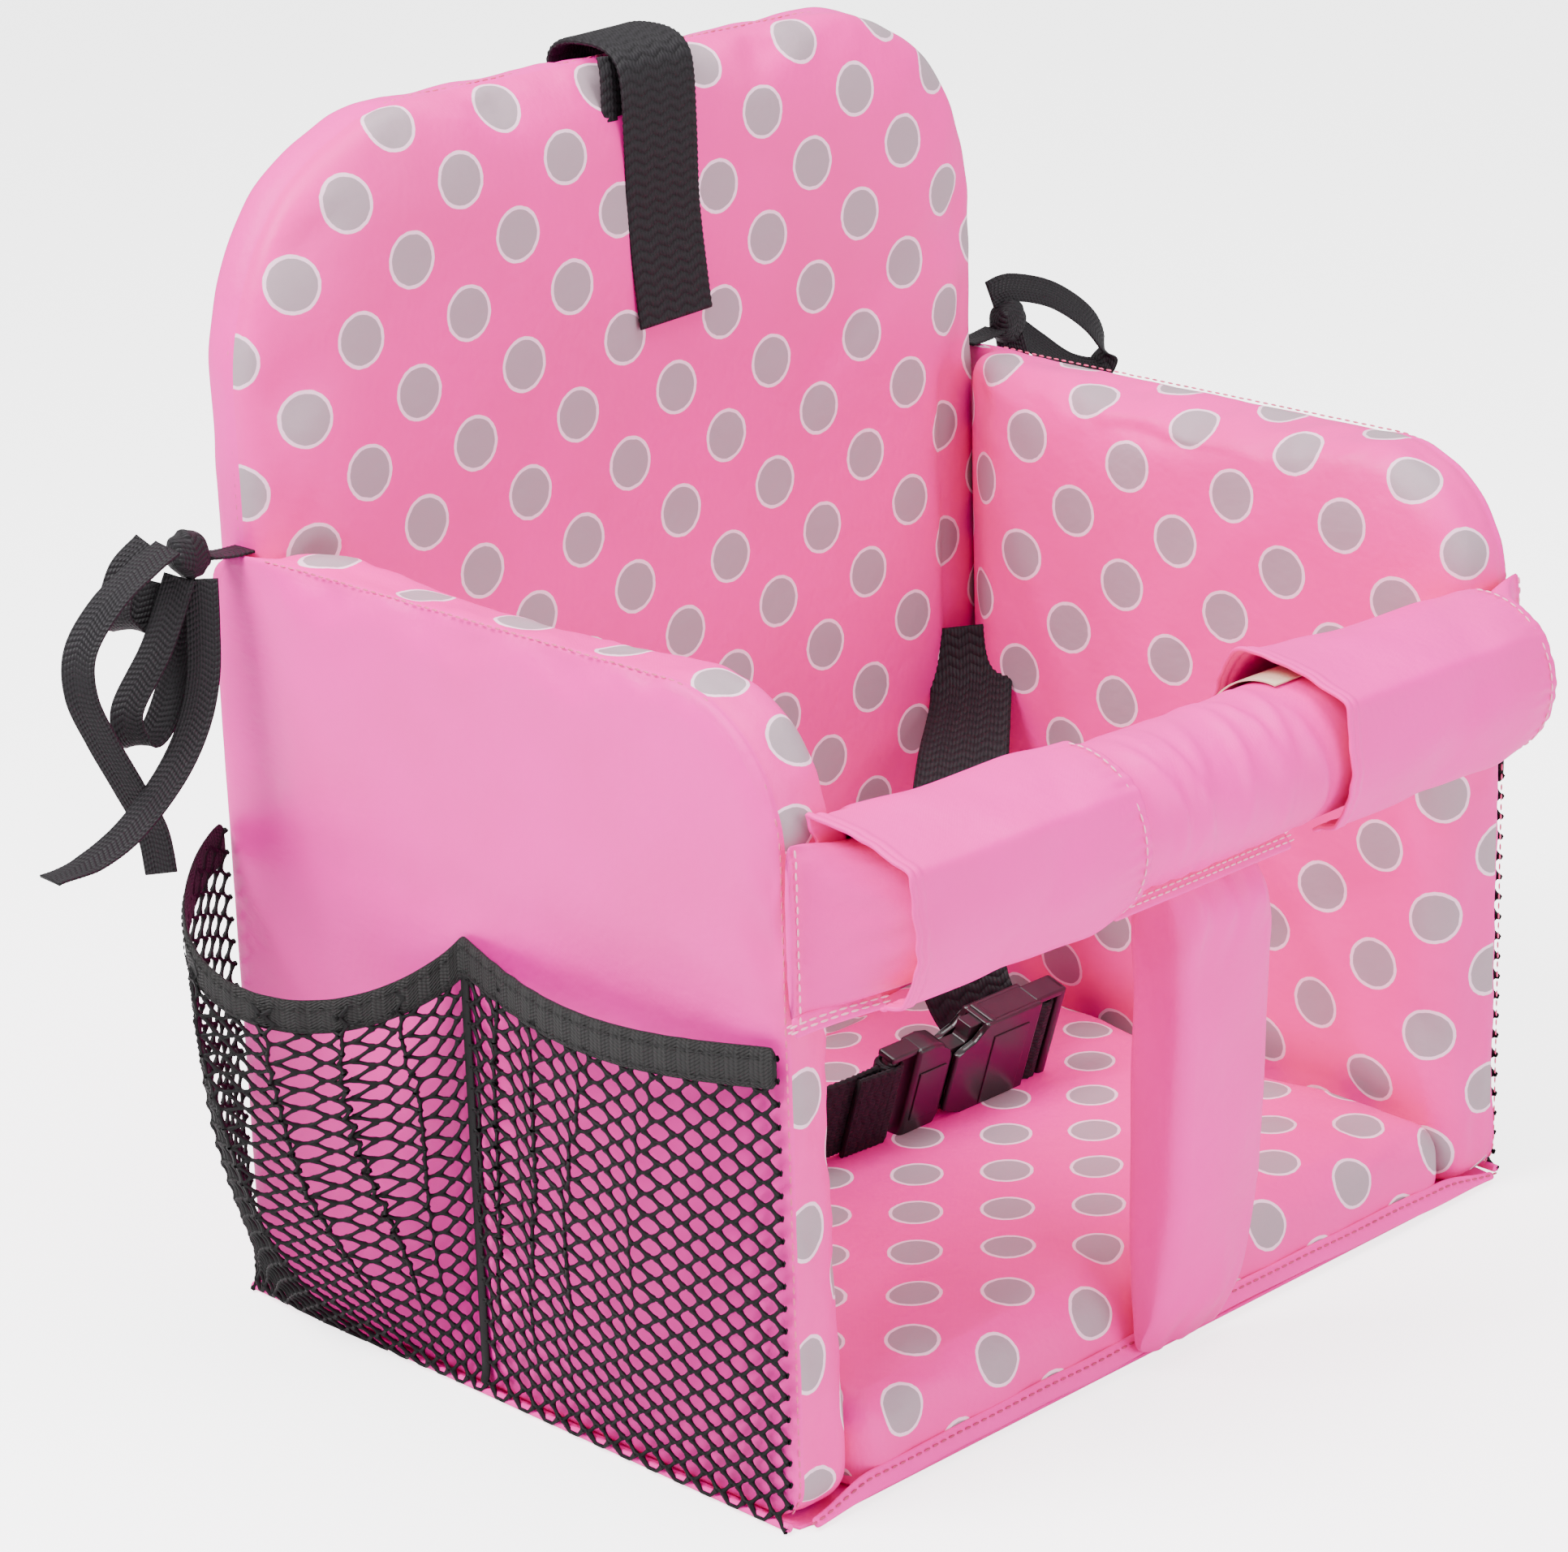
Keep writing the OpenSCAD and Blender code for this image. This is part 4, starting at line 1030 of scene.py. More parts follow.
def makeStub(sign):
    side = "left" if sign < 0 else "right"
    xs = np.concatenate([np.arange(165.6, 103.2, -2.1), [102.6, 101.4, 100.9, 100.7]])
    turns = np.arange(stub["turns"]) * 360 / stub["turns"]
    x, turn = np.meshgrid(xs, turns, indexing="ij")
    flatness = smooth(x, 137, 164)
    t = np.radians(turn)
    radius = np.full(x.shape, railAt["stub"] - 0.7)
    radius[-4:] *= np.array([0.985, 0.9, 0.66, 0.3])[:, None]
    gather = waves(stub["seeds"][side], 360, 9, 20)(turn + 1.2 * (x - 150) * np.sin(t))
    gather = gather * smooth(x, 136, 150) * (1 - 0.6 * smooth(x, 160, 165.6))
    radius += 1.25 * gather
    pleat = (np.exp(-((turn - 214 - (165 - x) * 1.7) / 8) ** 2) * smooth(x, 140, 152)
             * (1 - smooth(x, 161, 165.6)))
    radius += 3.0 * pleat - 2.2 * np.exp(-((turn - 234 - (165 - x) * 1.4) / 7) ** 2) * smooth(x, 142, 154)
    y = ((1 - flatness) * (railAt["y"] + radius * np.sin(t))
         + flatness * (stub["flatY"] + 1.3 * np.sin(t) + 0.5 * gather))
    z = ((1 - flatness) * (railAt["z"] - radius * np.cos(t))
         + flatness * (stub["flatZ"] - stub["flatHalf"] * np.cos(t)))
    wall = -121.4 + 20 * smooth(-x, -141, -127)
    y = np.minimum(y, wall + 0.35 * np.sin(z / 3))
    made = subdivide(tubeObject(f"stub{side.capitalize()}Pad", np.stack([sign * x, y, z], -1)))
    finish(made, f"side_{side}", (f"stub_{side}_cover", f"stub_{side}_foam"))
    z = np.linspace(160, 209, 22)
    line = np.stack([np.full_like(z, sign * 163.2), -124.9 + 0.2 * np.sin(z), z], 1)
    stitchRun(f"stub{side.capitalize()}Stitches", [line], f"side_{side}", "paleThread",
              3.2, 2.4, 0.7)
    share = np.linspace(0, 1, 16)
    lowX = sign * (165.2 - 24 * share)
    inner = np.stack([lowX, -123 - 12 * share ** 1.3, 160.5 + 4.5 * share], 1)
    outer = inner + np.stack([0 * share, -1.5 - 1.0 * share, -5.8 + 1.3 * share], 1)
    flangeBand(f"stub{side.capitalize()}Flange", inner, outer, 1.7, f"side_{side}")


wrap = {"left": (-150, -50), "right": (38, 142), "open": 62, "sewn": 331, "thickness": 1.4,
        "corners": [(231, 4.8), (313, 3.2), (160, 2.0)], "seeds": {"left": 51, "right": 58}}


def makeWrap(side):
    low, high = wrap[side]
    edge = low + np.array([0, 0.45, 1.0, 1.6, 2.2, 2.9, 3.6, 4.4, 5.4, 6.8, 8.6])
    xs = np.concatenate([edge, np.arange(low + 11, high - 1, 2.2), [high]])
    turns = np.linspace(wrap["open"], wrap["sewn"], 118)
    x, turn = np.meshgrid(xs, turns, indexing="ij")
    fromLow = x - low
    lip = np.exp(-fromLow / 17)
    free = 1 - smooth(x, high - 26, high)
    radius = railAt["wrap"] - 0.5 - 0.9 * smooth(x, high - 12, high)
    for turnAt, rise in wrap["corners"]:
        radius = (radius + rise * np.exp(-(np.abs(turn - turnAt) / 13) ** 1.35)
                  * (0.18 + 0.62 * free + 0.35 * lip))
    radius += 4.2 * lip * np.exp(-((turn - 158) / 34) ** 2) * smooth(turn, 70, 110) + 0.9 * lip
    radius -= 3.2 * lip * smooth(turn, 285, 325)
    radius += 0.75 * np.exp(-((fromLow - 0.9) / 0.8) ** 2) + 0.6 * np.exp(-((fromLow - 3.9) / 1.1) ** 2)
    radius -= 0.35 * np.exp(-((fromLow - 5.8) / 0.9) ** 2)
    radius += 0.5 * np.exp(-((turn - 329.5) / 1.8) ** 2) - 0.3 * np.exp(-((turn - 324) / 1.6) ** 2)
    radius += 0.4 * waves(wrap["seeds"][side], 270, 3, 9)(turn + 0.25 * fromLow) * smooth(fromLow, 5, 25)
    radius += 0.9 * np.exp(-((fromLow - 38 - 0.35 * (turn - 200)) / 10) ** 2)
    radius -= 0.8 * np.exp(-((fromLow - 62 + 0.3 * (turn - 250)) / 9) ** 2)
    radius += 0.3 * waves(wrap["seeds"][side] + 2, 270, 14, 30)(turn) * smooth(x, high - 16, high - 4)
    shift = -0.8 * np.exp(-((turn - 238) / 26) ** 2) * lip - 6.5 * np.exp(-((turn - 165) / 30) ** 2) * lip
    shift += 0.4 * waves(wrap["seeds"][side] + 1, 270, 8, 22)(turn) * lip
    grid = aroundRail(x + shift, turn, radius)
    blocked = (np.abs(grid[..., 0]) > 138.5) & (grid[..., 1] > -122.0)
    grid[..., 1] = np.where(blocked, -122.4, grid[..., 1])
    rows, columns = grid.shape[:2]
    faces, corners = sheetGrid(rows, columns)
    uv = np.stack([xs[corners[:, 0]], turns[corners[:, 1]] * 0.46], 1)
    name = f"wrap{side.capitalize()}"
    made = makeObject(name, grid.reshape(-1, 3), faces, ["plain"], None, uv)
    outward = np.array([0, -0.7, 0.7])
    if (normalsOf(made)[len(turns) * (rows // 2) + 76] @ outward) < 0:
        made.data.flip_normals()
    addModifier(made, "SOLIDIFY", thickness=wrap["thickness"] * mm, offset=0.0)
    subdivide(made)
    bake(made)
    finish(made, f"wrap_{side}", (f"wrap_{side}",))
    line = aroundRail(np.full(46, high - 4.0), np.linspace(176, 326, 46), railAt["wrap"] + 0.15)
    stitchRun(name + "Stitches", [line], f"wrap_{side}", "paleThread", 3.3, 2.6, 0.62)


crotch = {
    "low": (-24.5, 4), "high": (18, 166), "radii": (7.5, 7.5, 7.5, 7.5), "cells": (18, 44),
    "thickness": 24, "rim": 5.5,
    "rearRim": 4.5, "wallRows": 2, "seamDepth": 12, "print": {"dotAt": (0, 0)},
    "heights": (3.6, 20, 60, 120, 176), "frontY": (-125.5, -134, -142, -145, -145.5),
    "rearY": (-122.4, -122.2, -122, -122, -122)}


def makeCrotch():
    def place(ab, d):
        share = d / crotch["thickness"]
        z = ab[:, 1]
        front = np.interp(z, crotch["heights"], crotch["frontY"])
        rear = np.interp(z, crotch["heights"], crotch["rearY"])
        middle = (front + rear) / 2
        pinch = 1 - 0.66 * smooth(z, 150, 166) - 0.25 * smooth(-z, -16, -4)
        y = middle + (front + (rear - front) * share - middle) * pinch
        return np.stack([ab[:, 0] * (1 + 0.02 * np.sin(z / 30)), y, z], 1)

    made, info = panelMesh("crotchPad", crotch, place)
    rest, normals = pointsOf(made), normalsOf(made)
    x, z = info["across"][:, 0], info["across"][:, 1]
    (x0, z0), (x1, z1) = crotch["low"], crotch["high"]
    fromEdge = np.minimum(np.minimum(x - x0, x1 - x), np.minimum(z - z0, z1 - z))
    gather = waves(71, 62, 4, 9)(x + 31 + 6 * np.sin(z / 9)) * (1.5 * smooth(z, 128, 163)
                                                                * (1 - 0.5 * smooth(z, 161, 166))
                                                             + 1.0 * smooth(-z, -34, -8))
    crease = 1.6 * np.exp(-(((x + 14) - 0.35 * (z - 160)) / 4) ** 2) * smooth(z, 120, 155)
    crease -= 1.2 * np.exp(-(((x - 6) + 0.2 * (z - 60)) / 7) ** 2) * smooth(-z, -80, -20)
    soft = 0.7 * np.sin(z / 21 + x / 14) + 0.4 * np.sin(z / 9 - x / 8)
    swell = 1.6 * smooth(fromEdge, -2, 18) + (gather + crease + soft * 0.6)
    final = rest + normals * swell[:, None]
    final[:, 1] = np.minimum(final[:, 1], -122.1)
    final[:, 2] = np.clip(final[:, 2], 2.4, 168)
    setPoints(made, final)
    made.data.materials[0] = materials["plain"]
    subdivide(made)
    finish(made, "rail", ("crotch_cover", "crotch_foam"))


makeBack()
makeSeat()
makeSide(-1)
makeSide(1)
print("panels made")
makeRail()
makeRailFlange()
for sign in (-1, 1):
    makeStub(sign)
for side in ("left", "right"):
    makeWrap(side)
makeCrotch()
print("rail made")

# Mesh pockets

pocket = {"front": -118.0, "rear": 124.0, "seam": 13.0, "floor": 1.2, "height": 150.0, "frontOut": 12.0,
          "rearOut": 42.0,
          "cell": 6.1, "row": 6.9, "bar": 2.5, "gathered": 1.08, "strand": 0.62, "bindingHeight": 12.0,
          "folds": [(30, 22, 2.6, 3.2, 1.5), (46, 30, 3.4, 5.0, 1.9), (66, 44, 4.2, 5.5, 1.4),
                    (88, 74, 5.0, 4.0, 0.8),
                    (108, 110, 4.0, 3.0, 0.5), (4, 10, 2.4, 2.4, 1.4), (-12, 6, 3.2, 4.2, 1.9),
                    (-32, -12, 3.4, 3.0, 1.5), (-54, -26, 4.0, 2.6, 0.9), (-80, -52, 5.0, 1.8, 0.4)]}


def pocketOut(y):
    share = np.clip((y - pocket["front"]) / (pocket["seam"] - pocket["front"]), 0, 1)
    front = pocket["frontOut"] * np.sin(math.pi * share)
    t = np.clip((y - pocket["seam"]) / (pocket["rear"] - pocket["seam"]), 0, 1)
    rear = pocket["rearOut"] * np.clip(np.sin(math.pi * t ** 1.5), 0, 1) ** 0.8
    return np.where(y < pocket["seam"], front, rear)


def pocketMouth(y):
    share = np.clip((y - pocket["front"]) / (pocket["seam"] - pocket["front"]), 0, 1)
    front = pocket["height"] - 4 * np.sin(math.pi * share)
    t = np.clip((y - pocket["seam"]) / (pocket["rear"] - pocket["seam"]), 0, 1)
    rear = pocket["height"] + 10 * t * t - 24 * np.clip(np.sin(math.pi * t ** 0.75), 0, 1) ** 1.2
    return np.where(y < pocket["seam"], front, rear)


def pocketPlace(y, h, out, sign):
    swell = np.sin(math.pi / 2 * np.clip(h, 0, None) ** 0.7)
    x = halfWidth + 0.2 + out + pocketOut(y) * swell + 2.4 * (1 - smooth(h, 0, 0.045))
    z = pocket["floor"] + (pocketMouth(y) - pocket["floor"]) * h
    return np.stack([sign * x, y, z], -1)


# Gathers the net into slanting folds that overlap
def foldedNet(y, h, sign):
    out, slip = 0.6 + 0 * y, 0 * y
    window = smooth(h, 0.02, 0.5) * (1 - 0.75 * smooth(h, 0.8, 1.0))
    for top, bottom, width, height, over in pocket["folds"]:
        aside = y - (bottom + (top - bottom) * h + 1.5 * np.sin(h * 9 + top))
        bell = np.exp(-(aside / width) ** 2) * window
        out = out + height * bell * np.where(y > pocket["seam"], 1.0, 0.8)
        slip = slip - over * aside * bell
    return pocketPlace(np.clip(y + slip, pocket["front"], pocket["rear"]), h, out, sign)


def makeNet(sign):
    side = "left" if sign < 0 else "right"
    dense = np.linspace(pocket["front"], pocket["rear"], 600)
    line = pocketPlace(dense, 0.8 + 0 * dense, 0, sign)
    run = np.concatenate([[0], np.cumsum(np.linalg.norm(np.diff(line, axis=0), axis=1))])
    columns = int(run[-1] * pocket["gathered"] / pocket["cell"])
    rows = int(pocket["height"] / pocket["row"])
    points, edges, index = [], [], {}

    def corner(u, v):
        u, v = min(max(u, 0), columns), min(max(v, 0), rows)
        key = (round(u * 100), round(v * 100))
        if key not in index:
            index[key] = len(points)
            points.append((u / columns, v / rows))
        return index[key]

    half = pocket["bar"] / pocket["cell"] / 2
    for i in range(columns + 1):
        for j in range(rows + 1):
            v = j + 0.5 * (i % 2)
            if v > rows:
                continue
            edges.append((corner(i - half, v), corner(i + half, v)))
            if i < columns:
                for step in (-0.5, 0.5):
                    if 0 <= v + step <= rows:
                        edges.append((corner(i + half, v), corner(i + 1 - half, v + step)))
    edges = [e for e in edges if e[0] != e[1]]
    share = np.array(points)
    y = np.interp(share[:, 0] * run[-1], run, dense)
    world = foldedNet(y, share[:, 1] * 0.985, sign)
    mesh = bpy.data.meshes.new("net")
    mesh.from_pydata((world * mm).tolist(), edges, [])
    name = f"pocket{side.capitalize()}Net"
    made = bpy.data.objects.new(name, mesh)
    bpy.context.scene.collection.objects.link(made)
    runTree(made, "net", Radius=pocket["strand"] * mm, Knot=0.75, Material=materials["net"])
    finish(made, f"side_{side}", (f"pocket_{side}_mesh",))


def makeBinding(sign):
    side = "left" if sign < 0 else "right"
    y = np.concatenate([np.linspace(pocket["front"], pocket["seam"], 50),
                        np.linspace(pocket["seam"], pocket["rear"], 60)[1:]])
    height = pocket["bindingHeight"] / pocket["height"]
    ring = [(1 - height, 0.2), (1 - height, 1.7), (1 - height * 0.75, 2.1), (1 - height * 0.5, 2.15),
            (1 - height * 0.25, 2.1),
            (1.0, 1.9), (1.012, 1.1), (1.0, 0.2), (1 - height * 0.25, 0.05), (1 - height * 0.5, 0.0),
            (1 - height * 0.75, 0.05)]
    ripple = 0.25 * waves(81, 240, 15, 35)(y + 118)
    grid = np.stack([pocketPlace(y, h + 0 * y, o + ripple * (o > 1), sign) for h, o in ring], 1)
    name = f"pocket{side.capitalize()}Binding"
    made = subdivide(tubeObject(name, grid, "elastic"))
    finish(made, f"side_{side}", (f"pocket_{side}_binding",))
    sewn = y[2:-2]
    lines = [pocketPlace(sewn, 1 - height * share + 0 * sewn, 2.25, sign) for share in (0.82, 0.18)]
    stitchRun(name + "Stitches", lines, f"side_{side}", "hooks", 3.0, 2.3, 0.5)
    h = np.linspace(0.02, 0.93, 60)
    seamLine = pocketPlace(np.full_like(h, pocket["seam"]), h, 0.9, sign)
    wide = np.array([0, 1.0, 0])
    deep = np.array([sign * 1.0, 0, 0])
    tapeRing = ((-2.2, 0), (-1.6, 0.7), (0, 0.9), (1.6, 0.7), (2.2, 0), (0, -0.3))
    grid = np.stack([seamLine + wide * a + deep * b for a, b in tapeRing], 1)
    finish(subdivide(tubeObject(f"pocket{side.capitalize()}SeamTape", grid, "net")), f"side_{side}")


for sign in (-1, 1):
    makeNet(sign)
    makeBinding(sign)
print("pockets made")

# Webbing and ribbon

strap = {"width": 32.0, "thick": 1.6, "step": 1.05, "rib": 0.3, "material": "webbing"}
ribbon = {"width": 10.0, "thick": 0.9, "step": 0.75, "rib": 0.12, "material": "ribbon"}


# Rings of points along a woven band; across0 may list its turns as (share of the length, direction)
def ribbonGrid(route, band, across0, across1=None):
    steps = len(route)
    along = np.gradient(route, axis=0)
    along /= np.linalg.norm(along, axis=1, keepdims=True)
    share = np.linspace(0, 1, steps)[:, None]
    keys = across0 if isinstance(across0, list) else [(0, across0), (1, across1)]
    aim = np.stack([np.interp(share[:, 0], [k for k, _ in keys], [v[n] for _, v in keys])
                    for n in range(3)], 1)
    wide = aim - (aim * along).sum(1, keepdims=True) * along
    wide /= np.linalg.norm(wide, axis=1, keepdims=True)
    deep = np.cross(along, wide)
    shape = [(-1, 0), (-0.97, 0.8), (-0.9, 1.1), (-0.6, 1), (0, 1), (0.6, 1), (0.9, 1.1), (0.97, 0.8),
             (1, 0), (0.97, -0.8), (0.9, -1.1), (0.6, -1), (0, -1), (-0.6, -1), (-0.9, -1.1), (-0.97, -0.8)]
    swell = 1 + band["rib"] * np.cos(math.pi * np.arange(steps))[:, None]
    width, thick = band["width"], band["thick"]
    return np.stack([route + wide * a * width / 2 + deep * b * swell * thick / 2 for a, b in shape], 1)


def ribbonObject(name, grid, band):
    rows, columns = grid.shape[:2]
    faces, corners = sheetGrid(rows, columns, closedColumns=True)
    middle = grid.mean(axis=1)
    along = np.concatenate([[0], np.cumsum(np.linalg.norm(np.diff(middle, axis=0), axis=1))])
    half = [0, 0.03, 0.07, 0.2, 0.5, 0.8, 0.93, 0.97, 1]
    places = np.array(half + half[-2::-1]) * band["width"]
    uv = np.stack([places[corners[:, 1]], along[corners[:, 0]]], 1)
    cap(faces, list(range(columns)))
    cap(faces, list(range((rows - 1) * columns, rows * columns)), True)
    uv = np.concatenate([uv, [(0, 0)] * (2 * columns)])
    made = makeObject(name, grid.reshape(-1, 3), faces, [band["material"]], None, uv)
    turnOutward(made)
    return made


def strapPiece(name, route, across0, across1=None):
    line, _ = evenCurve(route, strap["step"])
    return ribbonObject(name, ribbonGrid(line, strap, across0, across1), strap)


buckle = {"at": (33, 2, 48), "tilt": 18, "socketBar": 36, "plugBar": -36, "rodReach": 17.5,
          "rodRadius": 2.7, "loopRadius": 3.8, "loopTurns": {"right": (150, -150), "left": (30, 330)},
          "flap": [(-2.0, -3.6), (-8, -3.2), (-16.5, -2.6)]}


# From the buckle's own frame to the seat's
def inBuckle(points):
    t = math.radians(buckle["tilt"])
    p = np.asarray(points, float)
    y, z = p[..., 1], p[..., 2]
    turned = [p[..., 0], y * math.cos(t) - z * math.sin(t), y * math.sin(t) + z * math.cos(t)]
    return np.stack(turned, -1) + np.array(buckle["at"])


belt = {
    "right": [(75, 5.7, 48), (68, 11, 48), (61, 17, 54), (60, 24, 68), (68, 33, 85), (84, 48, 104),
              (106, 65, 122), (131, 84, 138), (138, 91, 156)],
    "rightTurns": [(0, (0, -0.31, 0.95)), (0.1, (0.1, -0.4, 0.9)), (0.28, (0.68, -0.68, 0.25)),
                   (0.6, (0.72, -0.69, 0.05)), (1, (0.45, -0.6, 0.66))],
    "left": [(-9, 2, 48), (-24, 2, 48), (-42, 6, 47), (-64, 16, 47), (-86, 32, 50), (-102, 52, 62),
             (-116, 69, 92), (-131, 84, 138), (-138, 91, 154)],
    "leftTurns": [(0, (0, -0.31, 0.95)), (1, (-0.25, -0.35, 0.9))]}


def makeBelt(side):
    bar = buckle["socketBar"] if side == "right" else buckle["plugBar"]
    t = math.radians(buckle["tilt"])
    across = (0, -math.sin(t), math.cos(t))
    reach = buckle["loopRadius"]
    turns = np.radians(np.linspace(*buckle["loopTurns"][side], 18))
    around = [tuple(inBuckle((bar + reach * math.cos(a), reach * math.sin(a), 0))) for a in turns]
    made = strapPiece(f"belt{side.capitalize()}", belt[side], belt[side + "Turns"])
    extra = [strapPiece("loop", around, across, across)]
    if side == "left":
        flap = [tuple(inBuckle((bar + x, y, 0))) for x, y in buckle["flap"]]
        extra.append(strapPiece("flap", flap, across, across))
    joinPieces(made, extra)
    return made


def joinPieces(made, others):
    work = bmesh.new()
    work.from_mesh(made.data)
    for other in others:
        work.from_mesh(other.data)
        bpy.data.objects.remove(other)
    work.to_mesh(made.data)
    work.free()


def makeBelts():
    made = makeBelt("right")
    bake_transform(made)
    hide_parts("belt_right")
    made = makeBelt("left")
    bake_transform(made)
    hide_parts("belt_left")
    bar = buckle["plugBar"]
    sewn = np.array([inBuckle((bar - 14.5, -3.6, z)) for z in np.linspace(-14.5, 14.5, 20)])
    stitchRun("beltLeftStitches", [sewn], "plug", "hooks", 2.6, 2.1, 0.6)


topStrap = [(5, 131.2, 300), (5, 131.3, 340), (5, 131.4, 366), (5, 130.9, 375), (5, 126, 379.5),
            (5, 117, 381), (5, 106, 380.2),
            (5, 99.5, 376), (5, 97.2, 368), (5.5, 97.3, 350), (6.5, 98.2, 325), (8, 97.0, 300),
            (8.5, 96.2, 290.5)]
underLeaf = [(1, 103, 376), (0.5, 101.6, 370), (0, 101.2, 350), (0, 101.2, 320), (0.5, 100.6, 296),
             (0.5, 100.4, 285.5)]


def makeTopStrap():
    made = strapPiece("topStrap", topStrap, (1, 0, 0), (1, 0, 0.07))
    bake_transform(made)
    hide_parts("strap_anchor", "strap_leaf")
    made = strapPiece("strapUnderLeaf", underLeaf, (1, 0, 0), (1, 0, 0.03))
    finish(made, "back", ("strap_under_leaf",))


ties = {
    "leftLoop": [(-186, 111, 247), (-197, 110, 228), (-210, 110, 211), (-207, 110, 200), (-198, 111, 203),
                 (-188, 112, 220), (-180, 113, 240)],
    "leftShortLoop": [(-193, 116, 258), (-202, 117, 251), (-206, 118, 238), (-198, 119, 233),
                      (-192, 119, 246)],
    "leftShort": [(-192, 108, 258), (-203, 107, 254), (-217, 106, 247), (-228, 106, 235),
                  (-229, 106, 221), (-222, 107, 205),
                  (-213, 108, 188), (-205, 109, 172), (-202, 110, 157)],
    "leftLong": [(-181, 107, 246), (-183, 105, 232), (-186, 103, 217), (-192, 102, 203), (-203, 101, 190),
                 (-220, 100, 178), (-236, 100, 172), (-250, 100, 171)],
    "rightLoop": [(176, 114, 263), (186, 113, 264), (205, 111, 258), (222, 109, 246), (229, 108, 234),
                  (226, 108, 227), (212, 109, 231), (198, 111, 241), (186, 113, 250), (178, 114, 252)],
    "rightLong": [(186, 116, 254), (190, 117, 240), (193, 118, 222), (197, 119, 204), (203, 120, 187),
                  (206, 121, 170)],
    "rightShort": [(182, 112, 252), (184, 109, 238), (189, 107, 222), (192, 106, 206), (190, 105, 190),
                   (192, 104, 176)],
    "tab": [(160, 112, 249.5), (168, 112, 249.8), (176, 112, 251)], "tabStep": 0.8,
    "across": (0.72, -0.69, 0), "flat": (0, 0.3, 1)}
knot = {"at": (182, 111.5, 253), "size": (13.5, 9.5, 17), "narrow": 0.9, "power": 3.2, "turn": 25,
        "cuts": 5}


def tiePiece(name, key, across):
    line, length = evenCurve(ties[key], ribbon["step"])
    return ribbonObject(name, ribbonGrid(line, ribbon, across, across), ribbon), line, length


def tieKnot(name, sign):
    work = bmesh.new()
    bmesh.ops.create_cube(work, size=1)
    bmesh.ops.subdivide_edges(work, edges=work.edges, cuts=knot["cuts"], use_grid_fill=True)
    power = knot["power"]
    for v in work.verts:
        p = v.co
        sides = [abs(2 * c) for c in p]
        r = 1 / max(1e-6, sum(s ** power for s in sides) ** (1 / power))
        ridge = 1 + 0.07 * math.sin(p.x * 24 + p.z * 9) + 0.10 * math.cos(p.z * 7)
        scale = r * ridge * max(sides)
        wide, deep, tall = knot["size"]
        v.co = Vector((p.x * wide * knot["narrow"] * scale, p.y * deep * scale, p.z * tall * scale))
    turn = Matrix.Rotation(math.radians(sign * knot["turn"]), 4, "Y")
    x, y, z = knot["at"]
    bmesh.ops.transform(work, matrix=Matrix.Translation((sign * x, y, z)) @ turn, verts=work.verts)
    points = [tuple(v.co) for v in work.verts]
    faces = [tuple(v.index for v in f.verts) for f in work.faces]
    work.free()
    uv = [(points[v][0] + points[v][1], points[v][2]) for f in faces for v in f]
    made = makeObject(name, points, faces, ["ribbon"], None, uv)
    turnOutward(made)
    return subdivide(made)


def makeTies():
    for side, sign in (("left", -1), ("right", 1)):
        body, prefix = f"side_{side}", f"tie_{side}_"
        label = f"tie{side.capitalize()}"
        made = tieKnot(label + "Knot", sign)
        line, _ = evenCurve([(sign * x, y, z) for x, y, z in ties["tab"]], ties["tabStep"])
        tab = ribbonObject("tab", ribbonGrid(line, ribbon, (0, 1, 0), (0, 1, 0)), ribbon)
        bake(made)
        joinPieces(made, [tab])
        finish(made, body, (prefix + "knot",))
        across = ties["across"] if sign < 0 else ties["flat"]
        loops, *_ = tiePiece(label + "Loops", side + "Loop", across)
        if sign < 0:
            second, *_ = tiePiece("second", "leftShortLoop", across)
            joinPieces(loops, [second])
        finish(loops, body, (prefix + "loops",))
        for part in ("Long", "Short"):
            tail, line, length = tiePiece(label + "Tail" + part, side + part, ties["across"])
            finish(tail, body, (prefix + "tail_" + part.lower(),))


makeBelts()
makeTopStrap()
makeTies()
print("straps and ties made")

# Buckle, base, seams and tapes


# Outlines in (x, z); a plate is (low, high, bevel) and a bar (x0, x1, z0, z1, half depth, bevel)
shell = {
    "socket": [(-9, -11.5), (-9, 11.5), (-5, 11.7), (-0.5, 13.2), (2.6, 16.4), (3.6, 19.8), (30, 19.8),
               (30, -19.8), (3.6, -19.8), (2.6, -16.4), (-0.5, -13.2), (-5, -11.7)],
    "socketPlates": [(-6.3, -3.9, 0.95), (3.9, 6.3, 0.95)],
    "socketSides": [(3.4, 29.5, 13.4, 19.6, 4.6, 0.5), (28.5, 43.5, 17, 19.8, 4.4, 0.9),
                    (5.5, 8.2, 17.2, 20.3, 5.4, 0.7)],
    "socketBars": [(26.5, 29.8, -19, 19, 5.4, 0.6), (40.4, 44, -19.8, 19.8, 4.4, 1.3)],
    "socketRelief": ((8, 25, -13.5, 13.5), (-6.75, -6.0, 0.3)),
    "plug": [(-27.5, -19.2), (-27.5, 19.2), (-21, 19.6), (-15.5, 18.2), (-12.2, 14.6), (-9.6, 12.2),
             (-9.6, -12.2), (-12.2, -14.6), (-15.5, -18.2), (-21, -19.6)],
    "plugPlate": (-5.0, 5.0, 1.7), "plugSide": (-38.8, -26, 16.9, 19.4, 3.6, 0.9),
    "plugTongue": (-11, 14, -3.4, 3.4, 2.4, 0.5),
    "plugRelief": ((-25, -12.5, -9.5, 9.5), (-5.5, -4.8, 0.3))}


